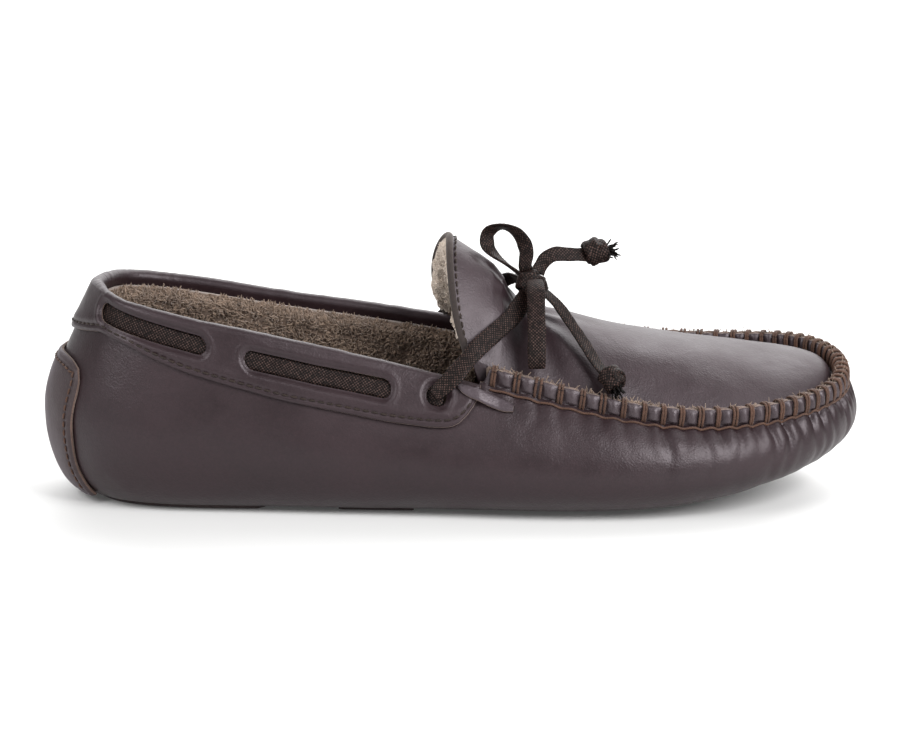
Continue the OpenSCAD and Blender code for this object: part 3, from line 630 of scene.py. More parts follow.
def band(P, N, w, thick=1.1, across=28, step=0.22, name="", taper=0.0):
    """flat woven lace along P with its face towards N, both at the same points"""
    Q, s = resample(np.concatenate([P, N], 1), step)
    P, N = Q[:, :3], Q[:, 3:]
    t = along(P)
    N = N - (N * t).sum(1, keepdims=True) * t
    N /= np.linalg.norm(N, axis=1, keepdims=True)
    H = np.cross(t, N)
    y = ease(across) * 0.5
    prof = thick / 2 * (1 - np.abs(2 * y) ** 5) ** 0.5
    S, Y = s[:, None], y[None, :]
    wide = w * (1 - 0.04 * (1 - np.cos(S * 0.9)) * np.sin(S * 0.37 + 1))
    if taper:
        f = np.clip(S / taper, 0.02, 1)
        wide = wide * (0.5 + 0.5 * np.sqrt(f * (2 - f)))
    flat = P[:, None] + (Y * wide)[..., None] * H[:, None]
    faces = []
    for face, shift in ((1, 0.0), (-1, 0.8)):
        rel = RELIEF * (braid(S + shift, Y * w) - 0.6) * np.clip((0.5 - np.abs(Y)) * 14, 0.25, 1)
        faces.append(flat + face * (prof[None] + rel)[..., None] * N[:, None])
    ring = np.concatenate([faces[0][:, ::-1], faces[1][:, 1:-1]], 1)
    n, m = ring.shape[:2]
    uvt = np.concatenate([y[::-1] * w, y[1:-1] * w + 50])
    uv = np.concatenate([np.stack([np.repeat(s, m), np.tile(uvt, n)], 1), [[0, 0], [s[-1], 0]]])
    V = np.concatenate([ring.reshape(-1, 3), P[[0, -1]]])
    return new_mesh(name, V, pipe_faces(n, m), [LACE], uv=uv), P, s[-1]


def lace_route(name):
    """a stretch of lace, its path in metres, and its length and width in millimetres"""
    R, w = ROUTES[name]
    R = np.array(R, float)
    for end, on in zip((0, -1), REACH[name]):
        if on:
            aim = R[-1, :3] + (R[-1, :3] - R[-2, :3]) if name.startswith("lace_end") and end else KNOT
            d = aim - R[end, :3]
            d = d / np.linalg.norm(d)
            q = np.concatenate([R[end, :3] + on * d, R[end, 3:]])
            R = np.concatenate([R, [q]] if end else [[q], R])
    D = cat(R, np.linspace(0, len(R) - 1, 40 * len(R)))
    taper = 4.5 if "crossing" in name else 0.0
    ob, P, length = band(D[:, :3], D[:, 3:], w, name="woven_" + name, taper=taper)
    path = P[::5].tolist() + [P[-1].tolist()]
    return ob, [tuple(row(p)) for p in path], length, w


def frayed(name, at, way, spread, length, n, rad, seed):
    g = np.random.default_rng(seed)
    way = np.array(way, float) / np.linalg.norm(way)
    lines = []
    for _ in range(n):
        d = way + spread * g.normal(size=3)
        d /= np.linalg.norm(d)
        b = g.normal(size=3) * 0.35
        ln = length * g.uniform(0.6, 1.05)
        a = np.array(at) + g.normal(size=3) * 0.7
        lines.append([a + d * ln * f + b * math.sin(f * 2.5) * 0.9 for f in np.linspace(0, 1, 5)])
    return tubes(name, lines, rad, LACE, sides=5, step=0.8, plies=0, taper=True)


def arc(c, r, axis, start, a0, a1, n=60, lift=0.0):
    """points and outward normals of an arc round an axis"""
    ax = np.array(axis, float) / np.linalg.norm(axis)
    e1 = np.array(start, float)
    e1 = e1 - (e1 @ ax) * ax
    e1 /= np.linalg.norm(e1)
    e2 = np.cross(ax, e1)
    th = np.radians(np.linspace(a0, a1, n))[:, None]
    N = np.cos(th) * e1 + np.sin(th) * e2
    P = np.array(c) + r * N + ax * lift * np.linspace(-1, 1, n)[:, None]
    return P, N


def stopper(name, centre, axis, size):
    """an overhand knot of flat lace pulled tight into a block"""
    a = np.array(axis, float) / np.linalg.norm(axis)
    b = np.cross(a, [0.25, 0.9, 0.3])
    b /= np.linalg.norm(b)
    c = np.cross(a, b)
    parts = []
    for ax, e1, r, w, a0, a1, lift, off in (
            (a, c, 0.40, 0.98, -170, 175, 0.10, 0.02),
            (0.85 * a + 0.5 * b, b, 0.46, 0.62, -120, 120, -0.16, 0.0),
            (0.35 * a + 0.9 * c, a, 0.40, 0.7, -150, 100, 0.12, -0.04)):
        P, N = arc(np.array(centre) + off * size * a, r * size, ax, e1, a0, a1, lift=lift * size)
        parts.append(band(P, N, w * size, thick=0.24 * size, across=22, name="stopper_turn")[0])
    return join(name, parts)


STRETCH = {name: lace_route(name) for name in ROUTES}
for name, body in (("lace_crossing_lateral", "shoe"), ("lace_crossing_medial", "shoe"), ("bow_loop_rear", "rear_loop"),
                   ("bow_loop_front", None), ("lace_end_near", None), ("lace_end_far", "far_end")):
    done(STRETCH[name][0], body, "lace", name)
# the front loop and the near end come out of the knot; their transforms are baked into their meshes
for name, body, a, b in (("bow_loop_front", "front_loop", [30, -8.6, 75.4], [30, -15.5, 72.6]),
                         ("lace_end_near", "near_end", [35.2, -8.0, 71.0], [40.4, -12.8, 65.9])):
    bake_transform(STRETCH[name][0])


def join(name, parts):
    bpy.ops.object.select_all(action="DESELECT")
    for p in parts:
        p.select_set(True)
    bpy.context.view_layer.objects.active = parts[0]
    bpy.ops.object.join()
    parts[0].name = name
    return parts[0]


def bow_knot():
    parts = []
    for c, r, ax, st, a0, a1, w, th, lift in (
            ([0, 0, -0.2], 4.4, (0.9, -0.25, 0.35), (0, -1, 0.5), -165, 165, 6.4, 1.5, 1.0),
            ([-0.6, -0.6, 0.6], 4.1, (0.25, 0.3, 0.9), (-0.5, -0.9, 0.2), -140, 140, 5.2, 1.6, 1.1),
            ([0.4, 0.4, -1.0], 3.5, (0.3, -0.9, 0.3), (0.6, 0.2, 0.8), -150, 150, 6.4, 2.0, -1.2),
            ([-1.0, -0.6, 1.6], 3.1, (-0.5, -0.2, 0.85), (-0.7, -0.7, 0), -110, 130, 4.6, 2.4, 0.6)):
        P, N = arc(KNOT + c, r, ax, st, a0, a1, lift=lift)
        parts.append(band(P, N, w, thick=th, name="knot_turn")[0])
    return join("woven_bow_knot", parts)


knot = done(bow_knot(), "shoe", "lace", "bow_knot")
NE = np.array([55.6, -30.4, 47.9])
FE = np.array([51.8, 6, 84])
near = (
    done(stopper("near_stopper_knot", NE + [0.2, -0.3, -0.4], (0.45, -0.6, -0.75), 7.4), "near_end", "lace",
         "end_knot_near"),
    done(frayed("near_frayed_tip", NE + [1.4, -1.8, -2.4], (0.35, -0.6, -0.8), 0.3, 4.4, 30, 0.3, 5),
         "near_end", "lace"))
far = (
    done(stopper("far_stopper_knot", FE + [-0.4, 0, 0.2], (1, 0.2, 0.1), 8.2), "far_end", "lace", "end_knot_far"),
    done(frayed("far_frayed_tip", FE + [3.2, 0.3, 0.4], (1, 0.25, 0.0), 0.5, 4.6, 40, 0.3, 8), "far_end", "lace"))
for name, stiffness, lay, pieces in (
        ("lace_crossing_lateral", "limp", "taut", [knot]), ("lace_crossing_medial", "limp", "taut", []),
        ("bow_loop_rear", "medium", "loose", [STRETCH["lace_end_far"][0], *far]),
        ("bow_loop_front", "medium", "loose", []), ("lace_end_near", "medium", "loose", [*near])):
    ob, path, length, width = STRETCH[name]

# ---------------------------------------------------------------- wrapper with puckers below the hand seam
NST = 52
STU = 6.06 + np.arange(NST) * 11.88 / 51
half = np.concatenate([np.arange(0, 5.8, 0.06), np.linspace(5.8, 12, 318)])
U = np.concatenate([half, (24 - half[1:-1])[::-1]])
kr = np.random.default_rng(3)
KA = kr.uniform(0.15, 1.0, NST + 2) ** 1.3
KL = kr.uniform(6, 28, NST + 2)
KM = kr.uniform(-0.5, 0.5, NST + 2)


def phase(u):
    return (u - STU[0]) * 51 / 11.88


def puckers(u, d):
    """displacement in mm of the wall at u, d mm below the seam"""
    ph = phase(u)
    k0 = np.round(ph)
    live = smooth(5.88, 6.04, side(u))
    f = ph - k0
    out = (0.75 * (0.5 - 0.5 * np.cos(2 * pi * f)) - 0.15) * np.exp(-(d / 3.6) ** 2)
    toe = 0.5 + 0.6 * smooth(6.6, 8.4, side(u)) * (1 - 0.45 * smooth(11.0, 12.0, side(u)))
    for dk in (-1, 0, 1):
        k = np.clip(k0 + dk, 0, NST - 1).astype(int)
        g = ph - (k0 + dk) + KM[k] * d / 22 + 0.12 * np.sin(d * 0.35 + 5 * KM[k])
        wd = 0.17 + 0.012 * d
        out = out - toe * 1.0 * KA[k] * bell(g, wd) * bell(d, KL[k]) * smooth(0.2, 2.2, d)
        out = out + toe * 0.3 * KA[k] * bell(g - 0.45, wd * 1.6) * bell(d, KL[k]) * smooth(1, 4, d)
    return out * live


def wall_detail(u, v, P, d):
    soft = 0.55 * noise(P, 34, 1) + 0.16 * noise(P, 9, 4)
    soft = soft * smooth(0.0, 0.12, v)
    return soft + puckers(u, d)


def wrapper():
    s = side(U)
    k = smooth(5.88, 5.95, s)
    vt = vz(U, collar_low(U) + 3) * (1 - k) + k
    V = np.concatenate([np.linspace(0, 0.3, 14)[:-1], np.linspace(0.3, 0.72, 22)[:-1], np.linspace(0.72, 1, 40)])
    UU, VV = np.meshgrid(U, V, indexing="ij")
    VT = VV * vt[:, None]
    P0 = pt(UU, VT)
    seg = np.linalg.norm(np.diff(P0, axis=1), axis=2)
    d = np.concatenate([np.cumsum(seg[:, ::-1], axis=1)[:, ::-1], np.zeros((len(U), 1))], 1)
    D = wall_detail(UU, VV, P0, d + 30 * (1 - k)[:, None])
    T = pt(UU, VT, D)
    B = pt(UU, VT, -LEATHER)
    kk = (smooth(0.93, 1.0, VV) * k[:, None])[..., None]
    B = B * (1 - kk) + rp(UU, LEATHER, -1.4) * kk
    rise = RIDGE * smooth(5.94, 6.03, s)
    quarter = s < 5.9
    f = phase(U)
    f = f - np.round(f)
    pil = (0.5 - 0.5 * np.cos(2 * pi * f)) * smooth(5.95, 6.05, s)
    W = np.array([0.12, 0.26, 0.42, 0.58, 0.74, 0.88, 0.96, 1.0])
    base = D[:, -1]
    Tr, Br = [], []
    for w in W:
        bul = base * (1 - w) + 1.0 * pil * math.sin(pi * min(w, 0.97)) ** 0.6 - 0.35 * (1 - pil) * math.sin(pi * w)
        rnd = 0.35 * smooth(0.9, 1.0, w)
        hgt = w * rise + 0.35 * pil * w - 0.1 + 0.25 * noise(np.stack([U * 9, 0 * U, 0 * U], -1), 1.0, 7) * w
        Tr.append(np.where(quarter[:, None], pt(U, vt, base * (1 - w), 0.3 * w), rp(U, -bul + rnd, hgt)))
        Br.append(np.where(quarter[:, None], pt(U, vt, -LEATHER + 0 * U, 0.3 * w), rp(U, LEATHER, hgt - 0.05)))
    T = np.concatenate([T, np.stack(Tr, 1)], 1)
    B = np.concatenate([B, np.stack(Br, 1)], 1)
    n, m = T.shape[:2]
    q = 24
    h = n // 2
    tk = np.arange(1, q) / q

    def floor(G, dz):
        a, b = G[1:h, 0], G[n - 1:h:-1, 0]
        F = a[:, None] + (b - a)[:, None] * tk[None, :, None]
        F[..., 2] = zbot(F[..., 0]) + dz
        return F
    FT, FB = floor(T, 0.0), floor(B, LEATHER)
    o = n * m + FT.shape[0] * FT.shape[1]

    def pid(i, kq):
        if kq == 0 or i == 0 or i == h:
            return i * m
        if kq == q:
            return (n - i) * m
        return n * m + (i - 1) * (q - 1) + (kq - 1)
    bq, btri = [], []
    for i in range(h):
        for kq in range(q):
            a = [pid(i + 1, kq), pid(i, kq), pid(i, kq + 1), pid(i + 1, kq + 1)]
            a = [x for c, x in enumerate(a) if x != a[c - 1]]
            if len(set(a)) == 4:
                bq.append(a)
            elif len(set(a)) == 3:
                btri.append(a)
    bq, btri = np.array(bq), np.array(btri)
    F = quads(n, m, True)
    E = np.stack([np.arange(n) * m + m - 1, (np.arange(n) + 1) % n * m + m - 1], 1)
    Wl = np.stack([E[:, 0], E[:, 1], E[:, 1] + o, E[:, 0] + o], 1)
    V = np.concatenate([T.reshape(-1, 3), FT.reshape(-1, 3), B.reshape(-1, 3), FB.reshape(-1, 3)])
    Q = [F, bq, F[:, ::-1] + o, bq[:, ::-1] + o, Wl]
    # the top rows of the ridge take the lighter ridge leather, a painted highlight
    ridge = np.where(np.arange(len(F)) % (m - 1) >= m - 9, 3, 0)
    fm = np.concatenate([ridge, np.zeros(len(bq)), np.full(len(F) + len(bq), 1), np.full(len(Wl), 2),
                         np.zeros(len(btri)), np.full(len(btri), 1)])
    faces = [np.concatenate(Q), np.concatenate([btri, btri[:, ::-1] + o])]
    return new_mesh("leather_wrapper", V, faces, [UPPER, FLESH, SUEDE, RIDGE_LIT], fm)


done(wrapper(), "shoe", "upper_leather", "wrapper")


def pillow(u):
    f = phase(u)
    f = f - np.round(f)
    return (0.5 - 0.5 * np.cos(2 * pi * f)) * smooth(5.95, 6.05, side(u))


def apron_edge():
    us = U[(U > 5.97) & (U < 18.03)][::-1]
    rise = RIDGE * smooth(5.9, 6.0, side(us)) - 0.15
    pil = pillow(us)
    T, B = [], []
    for ins, dz in ((5.6, -0.1), (4.7, 0.05), (4.1, 0.3), (3.75, 0.8)):
        T.append(rp(us, ins + 0.2 * pil, dz + 0.25 * pil))
        B.append(rp(us, ins - 0.9, dz - 1.5))
    for w in (0.28, 0.42, 0.56, 0.7, 0.84, 0.94, 1.0):
        bul = 0.85 * pil * math.sin(pi * min(w, 0.97)) ** 0.6 - 0.3 * (1 - pil) * math.sin(pi * w)
        hgt = w * rise + 0.3 * pil * w + 0.25 * noise(np.stack([us * 9, 0 * us + 5, 0 * us], -1), 1.0, 9) * w
        T.append(rp(us, 3.5 + bul - 0.35 * smooth(0.9, 1, w), hgt))
        B.append(rp(us, 1.9, hgt - 0.05))
    # the apron's ridge takes the lighter ridge leather, a painted highlight
    return shell("apron_edge", np.stack(T, 1), np.stack(B, 1), [RIDGE_LIT, FLESH, SUEDE], edge=2, under=1)


done(apron_edge(), "shoe", "upper_leather")


# ---------------------------------------------------------------- apron running on into the tongue
def skin_rows(R):
    ua = np.linspace(11.96, 6.42, 120)
    A = ap(ua[:, None], R[None])
    sa = np.linspace(0.16, 1.0, 44)
    G = tg0(sa[:, None], R[None])
    t0 = (A[-1] - A[-4])
    t0 /= np.linalg.norm(t0, axis=-1, keepdims=True)
    t1 = (G[3] - G[0])
    t1 /= np.linalg.norm(t1, axis=-1, keepdims=True)
    gap = np.linalg.norm(G[0] - A[-1], axis=-1, keepdims=True)
    mid = []
    for f in np.linspace(0, 1, 12)[1:-1]:
        h00, h10 = 2 * f ** 3 - 3 * f * f + 1, f ** 3 - 2 * f * f + f
        h01, h11 = -2 * f ** 3 + 3 * f * f, f ** 3 - f * f
        mid.append(h00 * A[-1] + h10 * gap * t0 + h01 * G[0] + h11 * gap * t1)
    return np.concatenate([A, np.array(mid), G])[::-1], len(sa)


def skin():
    R = np.sin(np.linspace(-pi / 2, pi / 2, 150))
    P, ns = skin_rows(R)
    N = normals(P)
    i = np.arange(len(P))[:, None] + 0 * R[None]
    D = 0.5 * noise(P, 26, 21) + 0.12 * noise(P, 7, 22)
    # the lace pulls the leather in along its line, and creases spread from the knot
    for name in ("lace_crossing_lateral", "lace_crossing_medial"):
        L = cat(np.array(ROUTES[name][0], float), np.linspace(0, 6, 40))[:, :3]
        dist = np.min(np.linalg.norm(P[:, :, None] - L[None, None], axis=-1), axis=2)
        D = D - 0.8 * np.exp(-(dist / 4.0) ** 2)
    q = P - (KNOT + [-2, 0, -8])
    ang = np.arctan2(q[..., 1], q[..., 0])
    rad = np.linalg.norm(q[..., :2], axis=-1)
    D = D + 0.4 * np.sin(ang * 9 + 1.3 + 0.06 * rad) * np.exp(-((rad - 11) / 9) ** 2)
    # a long soft fold down the lateral face
    a, b = np.array([33, -9, 64.0]), np.array([57, -33, 36.0])
    ab = b - a
    t = np.clip(((P - a) @ ab) / (ab @ ab), 0, 1)
    dist = np.linalg.norm(P - (a + t[..., None] * ab), axis=-1)
    D = D + 0.9 * np.exp(-(dist / 6) ** 2) * smooth(0, 0.25, t) * smooth(1, 0.8, t)
    a2, b2 = np.array([30, -13, 62.0]), np.array([44, -34, 37.0])
    ab = b2 - a2
    t = np.clip(((P - a2) @ ab) / (ab @ ab), 0, 1)
    dist = np.linalg.norm(P - (a2 + t[..., None] * ab), axis=-1)
    D = D - 0.8 * np.exp(-(dist / 5) ** 2)
    edge = smooth(1.0, 0.94, np.abs(R))[None]
    T = P + (D * edge)[..., None] * N
    B = P - 1.5 * N
    # the sides of the fold go down inside the topline
    sa = np.interp(np.arange(len(P)), [0, ns - 1], [1.0, 0.16])
    ua = np.interp(np.arange(len(P)), [ns + 9, len(P) - 1], [6.42, 11.96])
    deep = np.maximum(0.5, 8.5 * smooth(1.0, 0.66, sa) * smooth(7.1, 6.6, ua))
    for sg, col in ((-1, 0), (1, -1)):
        nn = np.array([0, sg, 0.1])
        ex, eb = [], []
        for f in (0.2, 0.5, 0.75, 1.0):
            q = P[:, col] + deep[:, None] * f * np.array([0, 0.1 * sg, -1])
            w = min(1, f * 2)
            m_ = N[:, col] * (1 - w) + nn * w
            ex.append(q + 0.15 * m_)
            eb.append(q - 1.2 * m_)
        ex, eb = np.stack(ex, 1), np.stack(eb, 1)
        if sg < 0:
            T, B = np.concatenate([ex[:, ::-1], T], 1), np.concatenate([eb[:, ::-1], B], 1)
        else:
            T, B = np.concatenate([T, ex], 1), np.concatenate([B, eb], 1)
    return shell("apron_and_tongue_leather", T, B, [APRON, FLESH, SUEDE], edge=2, under=1)


sk = skin()
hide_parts("apron", "tongue")
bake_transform(sk)


def tgn(s, r, off=0.0, e=0.01):
    """a point of the tongue with an offset along its normal"""
    s, r = np.broadcast_arrays(np.asarray(s, float), np.asarray(r, float))
    p = tg0(s, r)
    a = tg0(s + e, r) - tg0(s - e, r)
    b = tg0(s, np.minimum(1, r + e)) - tg0(s, np.maximum(-1, r - e))
    n = np.cross(b, a)
    n /= np.linalg.norm(n, axis=-1, keepdims=True)
    return p + np.asarray(off)[..., None] * n if np.ndim(off) else p + off * n


def binding():
    R = np.sin(np.linspace(-pi / 2, pi / 2, 170))
    c = tgn(1.0, R, -0.7)
    tt = np.gradient(c, axis=0)
    tt /= np.linalg.norm(tt, axis=1, keepdims=True)
    sd = tgn(1.02, R) - tgn(0.98, R)
    sd -= (sd * tt).sum(1, keepdims=True) * tt
    sd /= np.linalg.norm(sd, axis=1, keepdims=True)
    nn = np.cross(sd, tt)
    a = np.linspace(0, 2 * pi, 25)[:-1]
    wob = 1 + 0.1 * noise(np.stack([R * 30, 0 * R, 0 * R], -1), 2.0, 31)
    ring = (c[:, None] + 1.15 * np.sign(np.cos(a))[None, :, None] * (np.abs(np.cos(a)) ** 0.7)[None, :, None] * sd[:, None]
            + (1.15 * wob)[:, None, None] * np.sin(a)[None, :, None] * nn[:, None])
    n, m = ring.shape[:2]
    i, j = np.meshgrid(np.arange(n - 1), np.arange(m), indexing="ij")
    i, j = i.ravel(), j.ravel()
    l = (j + 1) % m
    F = np.stack([i * m + j, (i + 1) * m + j, (i + 1) * m + l, i * m + l], 1)
    V = np.concatenate([ring.reshape(-1, 3), c[[0, -1]]])
    k = np.arange(m)
    Tr = np.concatenate([np.stack([np.full(m, n * m), k, (k + 1) % m], 1),
                         np.stack([np.full(m, n * m + 1), (n - 1) * m + (k + 1) % m, (n - 1) * m + k], 1)])
    return new_mesh("suede_tongue_binding", V, [F, Tr], [BIND])


done(binding(), "tongue_flap", "binding", "tongue_binding")


def dashes(name, P, N, length, gapl, rad, mat_, sunk=0.1, high=0.3):
    """running stitches along a line of points with normals"""
    Q, s = resample(np.concatenate([P, N], 1), 0.15)
    lines = []
    pitch = length + gapl
    for k in range(int(s[-1] / pitch)):
        a, b = k * pitch, k * pitch + length
        f = np.linspace(0, 1, 9)
        x = np.stack([np.interp(a + (b - a) * f, s, Q[:, c]) for c in range(6)], 1)
        lines.append(x[:, :3] + (np.sin(pi * f) ** 0.5 * high - sunk)[:, None] * x[:, 3:])
    return tubes(name, lines, rad, mat_, sides=7, step=0.35, twist=1.2, taper=True)


Rr = np.sin(np.linspace(-pi / 2, pi / 2, 200)) * 0.975
done(dashes("tongue_edge_stitches", tgn(0.935, Rr, 0.05), tgn(0.935, Rr, 1.0) - tgn(0.935, Rr, 0.0), 2.0, 0.9, 0.32, THREAD_D),
     "tongue_flap", "thread", "tongue_stitches")


# ---------------------------------------------------------------- collar with its windows
def collar():
    us = np.linspace(-5.93, 5.93, 760)
    zm = ztop(us) - tunnel(us)
    mid = pt(us, vz(us, zm), 1.0)
    arcl = np.concatenate([[0], np.cumsum(np.linalg.norm(np.diff(mid, axis=0), axis=1))])
    a_of = lambda u: np.interp(u, us, arcl)
    lo = np.linspace(0, 1, 15)[:-1]
    qs = np.linspace(-4.3, 4.3, 34)
    hi = np.linspace(0, 1, 5)[1:]
    zl = collar_low(us)
    zr = ztop(us) - 2.5
    Z = np.concatenate([zl[:, None] + (zm - 4.3 - zl)[:, None] * lo, zm[:, None] + qs,
                        zm[:, None] + 4.3 + (np.maximum(0.05, zr - zm - 4.3))[:, None] * hi], 1)
    n, m = Z.shape
    Z = np.maximum(Z, zl[:, None] + 0.03 * np.arange(m))
    A = np.repeat(arcl[:, None], m, 1)
    Q = Z - zm[:, None]
    holes = []
    for sgn in (-1, 1):
        for u0, u1, r in ((1.58, 3.2, 3.15), (3.6, 5.05, 3.15), (5.4, 5.6, 3.1)):
            p0, p1 = sorted((a_of(sgn * u0), a_of(sgn * u1)))
            holes.append((p0 + r, max(p0 + r + 0.01, p1 - r), r))

    def sdf(A, Q):
        best, near_ = np.full(A.shape, 1e9), np.zeros(A.shape + (2,))
        for p0, p1, r in holes:
            c = np.clip(A, p0, p1)
            dx, dy = A - c, Q
            ln = np.maximum(1e-6, np.hypot(dx, dy))
            d = ln - r
            sel = d < best
            best = np.where(sel, d, best)
            near_ = np.where(sel[..., None], np.stack([dx / ln, dy / ln], -1), near_)
        return best, near_
    d, g = sdf(A, Q)
    # grid points next to an outline move onto it
    inside = d < 0
    nb = np.zeros_like(inside)
    nb[1:] |= inside[:-1] != inside[1:]
    nb[:-1] |= inside[:-1] != inside[1:]
    nb[:, 1:] |= inside[:, :-1] != inside[:, 1:]
    nb[:, :-1] |= inside[:, :-1] != inside[:, 1:]
    mv = nb & inside & (np.abs(d) < 0.6)
    A2 = np.where(mv, A - d * g[..., 0], A)
    Z2 = np.where(mv, Z - d * g[..., 1], Z)
    d2 = np.where(mv, 0, d)
    keep_v = (d2 >= -1e-6)
    kc = keep_v[:-1, :-1] & keep_v[1:, :-1] & keep_v[:-1, 1:] & keep_v[1:, 1:]
    U2 = np.interp(A2, arcl, us)
    VV = vz(U2, Z2)
    P0 = pt(U2, VV, 1.7)
    dl = Z - zl[:, None]
    lip = -0.95 * np.exp(-(np.maximum(0, d2) / 1.1) ** 2) + 0.22 * np.exp(-((d2 - 2.3) / 0.9) ** 2)
    lip = lip * (np.abs(Q) < 8)
    gro = -0.28 * np.exp(-((dl - 2.0) / 0.7) ** 2) + 0.22 * np.exp(-((dl - 3.8) / 1.4) ** 2)
    front_end = 5.93 - np.abs(U2)
    rim_edge = -0.5 * np.exp(-(np.minimum(dl, front_end * 33) / 0.5) ** 2)
    soft = 0.32 * noise(P0, 22, 41) + 0.12 * noise(P0, 6, 42)
    T = pt(U2, VV, 1.7 + lip + gro + rim_edge + soft)
    B = pt(U2, VV, 0.3 + 0.0 * d2)
    # rolled rim and facing
    ang = np.radians(np.linspace(0, 180, 15)[1:])
    VR = vz(us, zr)[:, None] + 0 * ang
    UR = us[:, None] + 0 * ang
    sr = (0.32 * noise(pt(us, VR[:, 0], 1.7), 22, 41))[:, None] * (1 - np.linspace(0, 1, 14))
    wr = 0.22 * noise(np.stack([UR * 20, 0 * UR, 0 * UR], -1), 3.0, 43) * np.sin(ang)
    rr = 2.5 + wr
    TR = pt(UR, VR, -0.8 + rr * np.cos(ang) + sr, rr * np.sin(ang))
    BR = pt(UR, VR, -0.8 + 1.1 * np.cos(ang), 1.1 * np.sin(ang))
    f = np.linspace(0, 1, 20)[1:]
    UF = us[:, None] + 0 * f
    VF = vz(UF, (ztop(us) - 2.5)[:, None] - 13.5 * f)
    PF = pt(UF, VF, -3.3)
    TF = pt(UF, VF, -3.3 - 0.3 * noise(PF, 14, 44) * f)
    BF = pt(UF, VF, -1.9)
    T = np.concatenate([T, TR, TF], 1)
    B = np.concatenate([B, BR, BF], 1)
    kc = np.concatenate([kc, np.ones((n - 1, T.shape[1] - m), bool)], 1)
    return shell("collar_leather", T, B, [COLLAR, FLESH, SUEDE], keep=kc, edge=2, under=1)


done(collar(), "shoe", "collar_leather", "collar")
uc = np.linspace(-5.86, 5.86, 600)
vc = vz(uc, collar_low(uc) + 2.0)
Pc, Pn = pt(uc, vc, 1.55), pt(uc, vc, 2.55) - pt(uc, vc, 1.55)
done(dashes("collar_edge_stitches", Pc, Pn, 2.2, 0.9, 0.34, THREAD_D), "shoe", "thread", "collar_stitches")
ur = np.linspace(-5.57, 5.57, 620)
vr = vz(ur, ztop(ur) - tunnel(ur))
Pl = pt(ur, vr, -0.8)
Nl = pt(ur, vr, 0.2) - Pl
run = band(Pl, Nl, 6.3, thick=1.1, step=0.42, name="woven_lace_run")[0]
done(run, "shoe", "lace", "lace_run")


# ---------------------------------------------------------------- heel patch
def heel_patch():
    p = np.sin(np.linspace(-pi / 2, pi / 2, 130))
    t = np.linspace(0, 1, 90)
    Pp, Tt = np.meshgrid(p, t, indexing="ij")
    hw = np.interp(t, [0, 0.08, 0.3, 0.6, 0.85, 0.95, 1], [1.42, 1.36, 1.27, 1.3, 1.38, 1.36, 1.25])
    hw = np.convolve(np.pad(hw, 4, mode="edge"), np.ones(9) / 9, "valid")
    u = Pp * hw[None]
    ztp = 51.5 - 3.2 * np.abs(Pp) ** 5
    vlow = 0.075 + 0.03 * np.abs(Pp) ** 4
    vtop = vz(u, ztp)
    v = vlow + (vtop - vlow) * Tt
    E = pt(u, v, 0)
    du = (1 - np.abs(Pp)) * 34
    dv = np.minimum(Tt, 1 - Tt) * 50
    d = np.minimum(du, dv)
    off = 2.0 - 0.75 * bell(d, 0.7) + 0.35 * smooth(0, 9, d) - 0.3 * bell(d - 3.3, 0.7)
    off = off + 0.18 * noise(E, 9, 51)
    return shell("heel_patch_leather", pt(u, v, off), pt(u, v, 0.3), [PATCH, FLESH, SUEDE], edge=2, under=1)


hp = heel_patch()
done(hp, "shoe", "patch_leather", "heel_patch")


def patch_line():
    t = np.linspace(0.07, 0.94, 60)
    hw = np.interp(t, [0, 0.08, 0.3, 0.6, 0.85, 0.95, 1], [1.42, 1.36, 1.27, 1.3, 1.38, 1.36, 1.25]) - 0.13
    out = []
    for sg in (-1, 1):
        u = sg * hw
        vl, vt_ = 0.085, vz(u, 49.8 + 0 * u)
        out.append((u, vl + (vt_ - vl) * t))
    top_u = np.linspace(-1.13, 1.13, 40)
    U_ = np.concatenate([out[0][0], top_u, out[1][0][::-1]])
    V_ = np.concatenate([out[0][1], vz(top_u, 48.3 - 1.6 * np.abs(top_u / 1.13) ** 5), out[1][1][::-1]])
    return U_, V_


pu, pv = patch_line()
done(dashes("heel_patch_edge_stitches", pt(pu, pv, 2.0), pt(pu, pv, 3.0) - pt(pu, pv, 2.0), 2.1, 0.9, 0.36, THREAD),
     "shoe", "thread", "heel_patch_stitches")


# ---------------------------------------------------------------- hand stitches over the ridge
def stitch_lines():
    out = []
    g = np.random.default_rng(17)
    o = 0.62
    for u in STU:
        for k in (-1, 1):
            a = g.normal(0, 0.006)
            g.normal(0, 0.12, 6)  # keeps its place in the order of draws
            path = []
            for ins, dz, sk_ in [
                    (0.35, -0.7, -0.9), (-o + 0.15, 0.2, -0.8), (-o - 0.25, 2.0, -0.5), (-o - 0.1, 4.3, 0.0),
                    (0.0, 5.75, 0.2), (1.2, 6.15, 0.35), (2.5, 6.1, 0.5), (3.7, 5.5, 0.6),
                    (3.5 + o + 0.15, 4.0, 0.5), (3.5 + o + 0.15, 2.0, 0.3), (3.5 + o - 0.2, 0.6, 0.2),
                    (3.7, -0.4, 0.2)]:
                du = (0.52 * k + sk_ * 0.55) / 27.0
                path.append(rp(u + du + a, ins, dz))
            out.append(cat(np.array(path), np.linspace(0, 11, 60)))
    return out


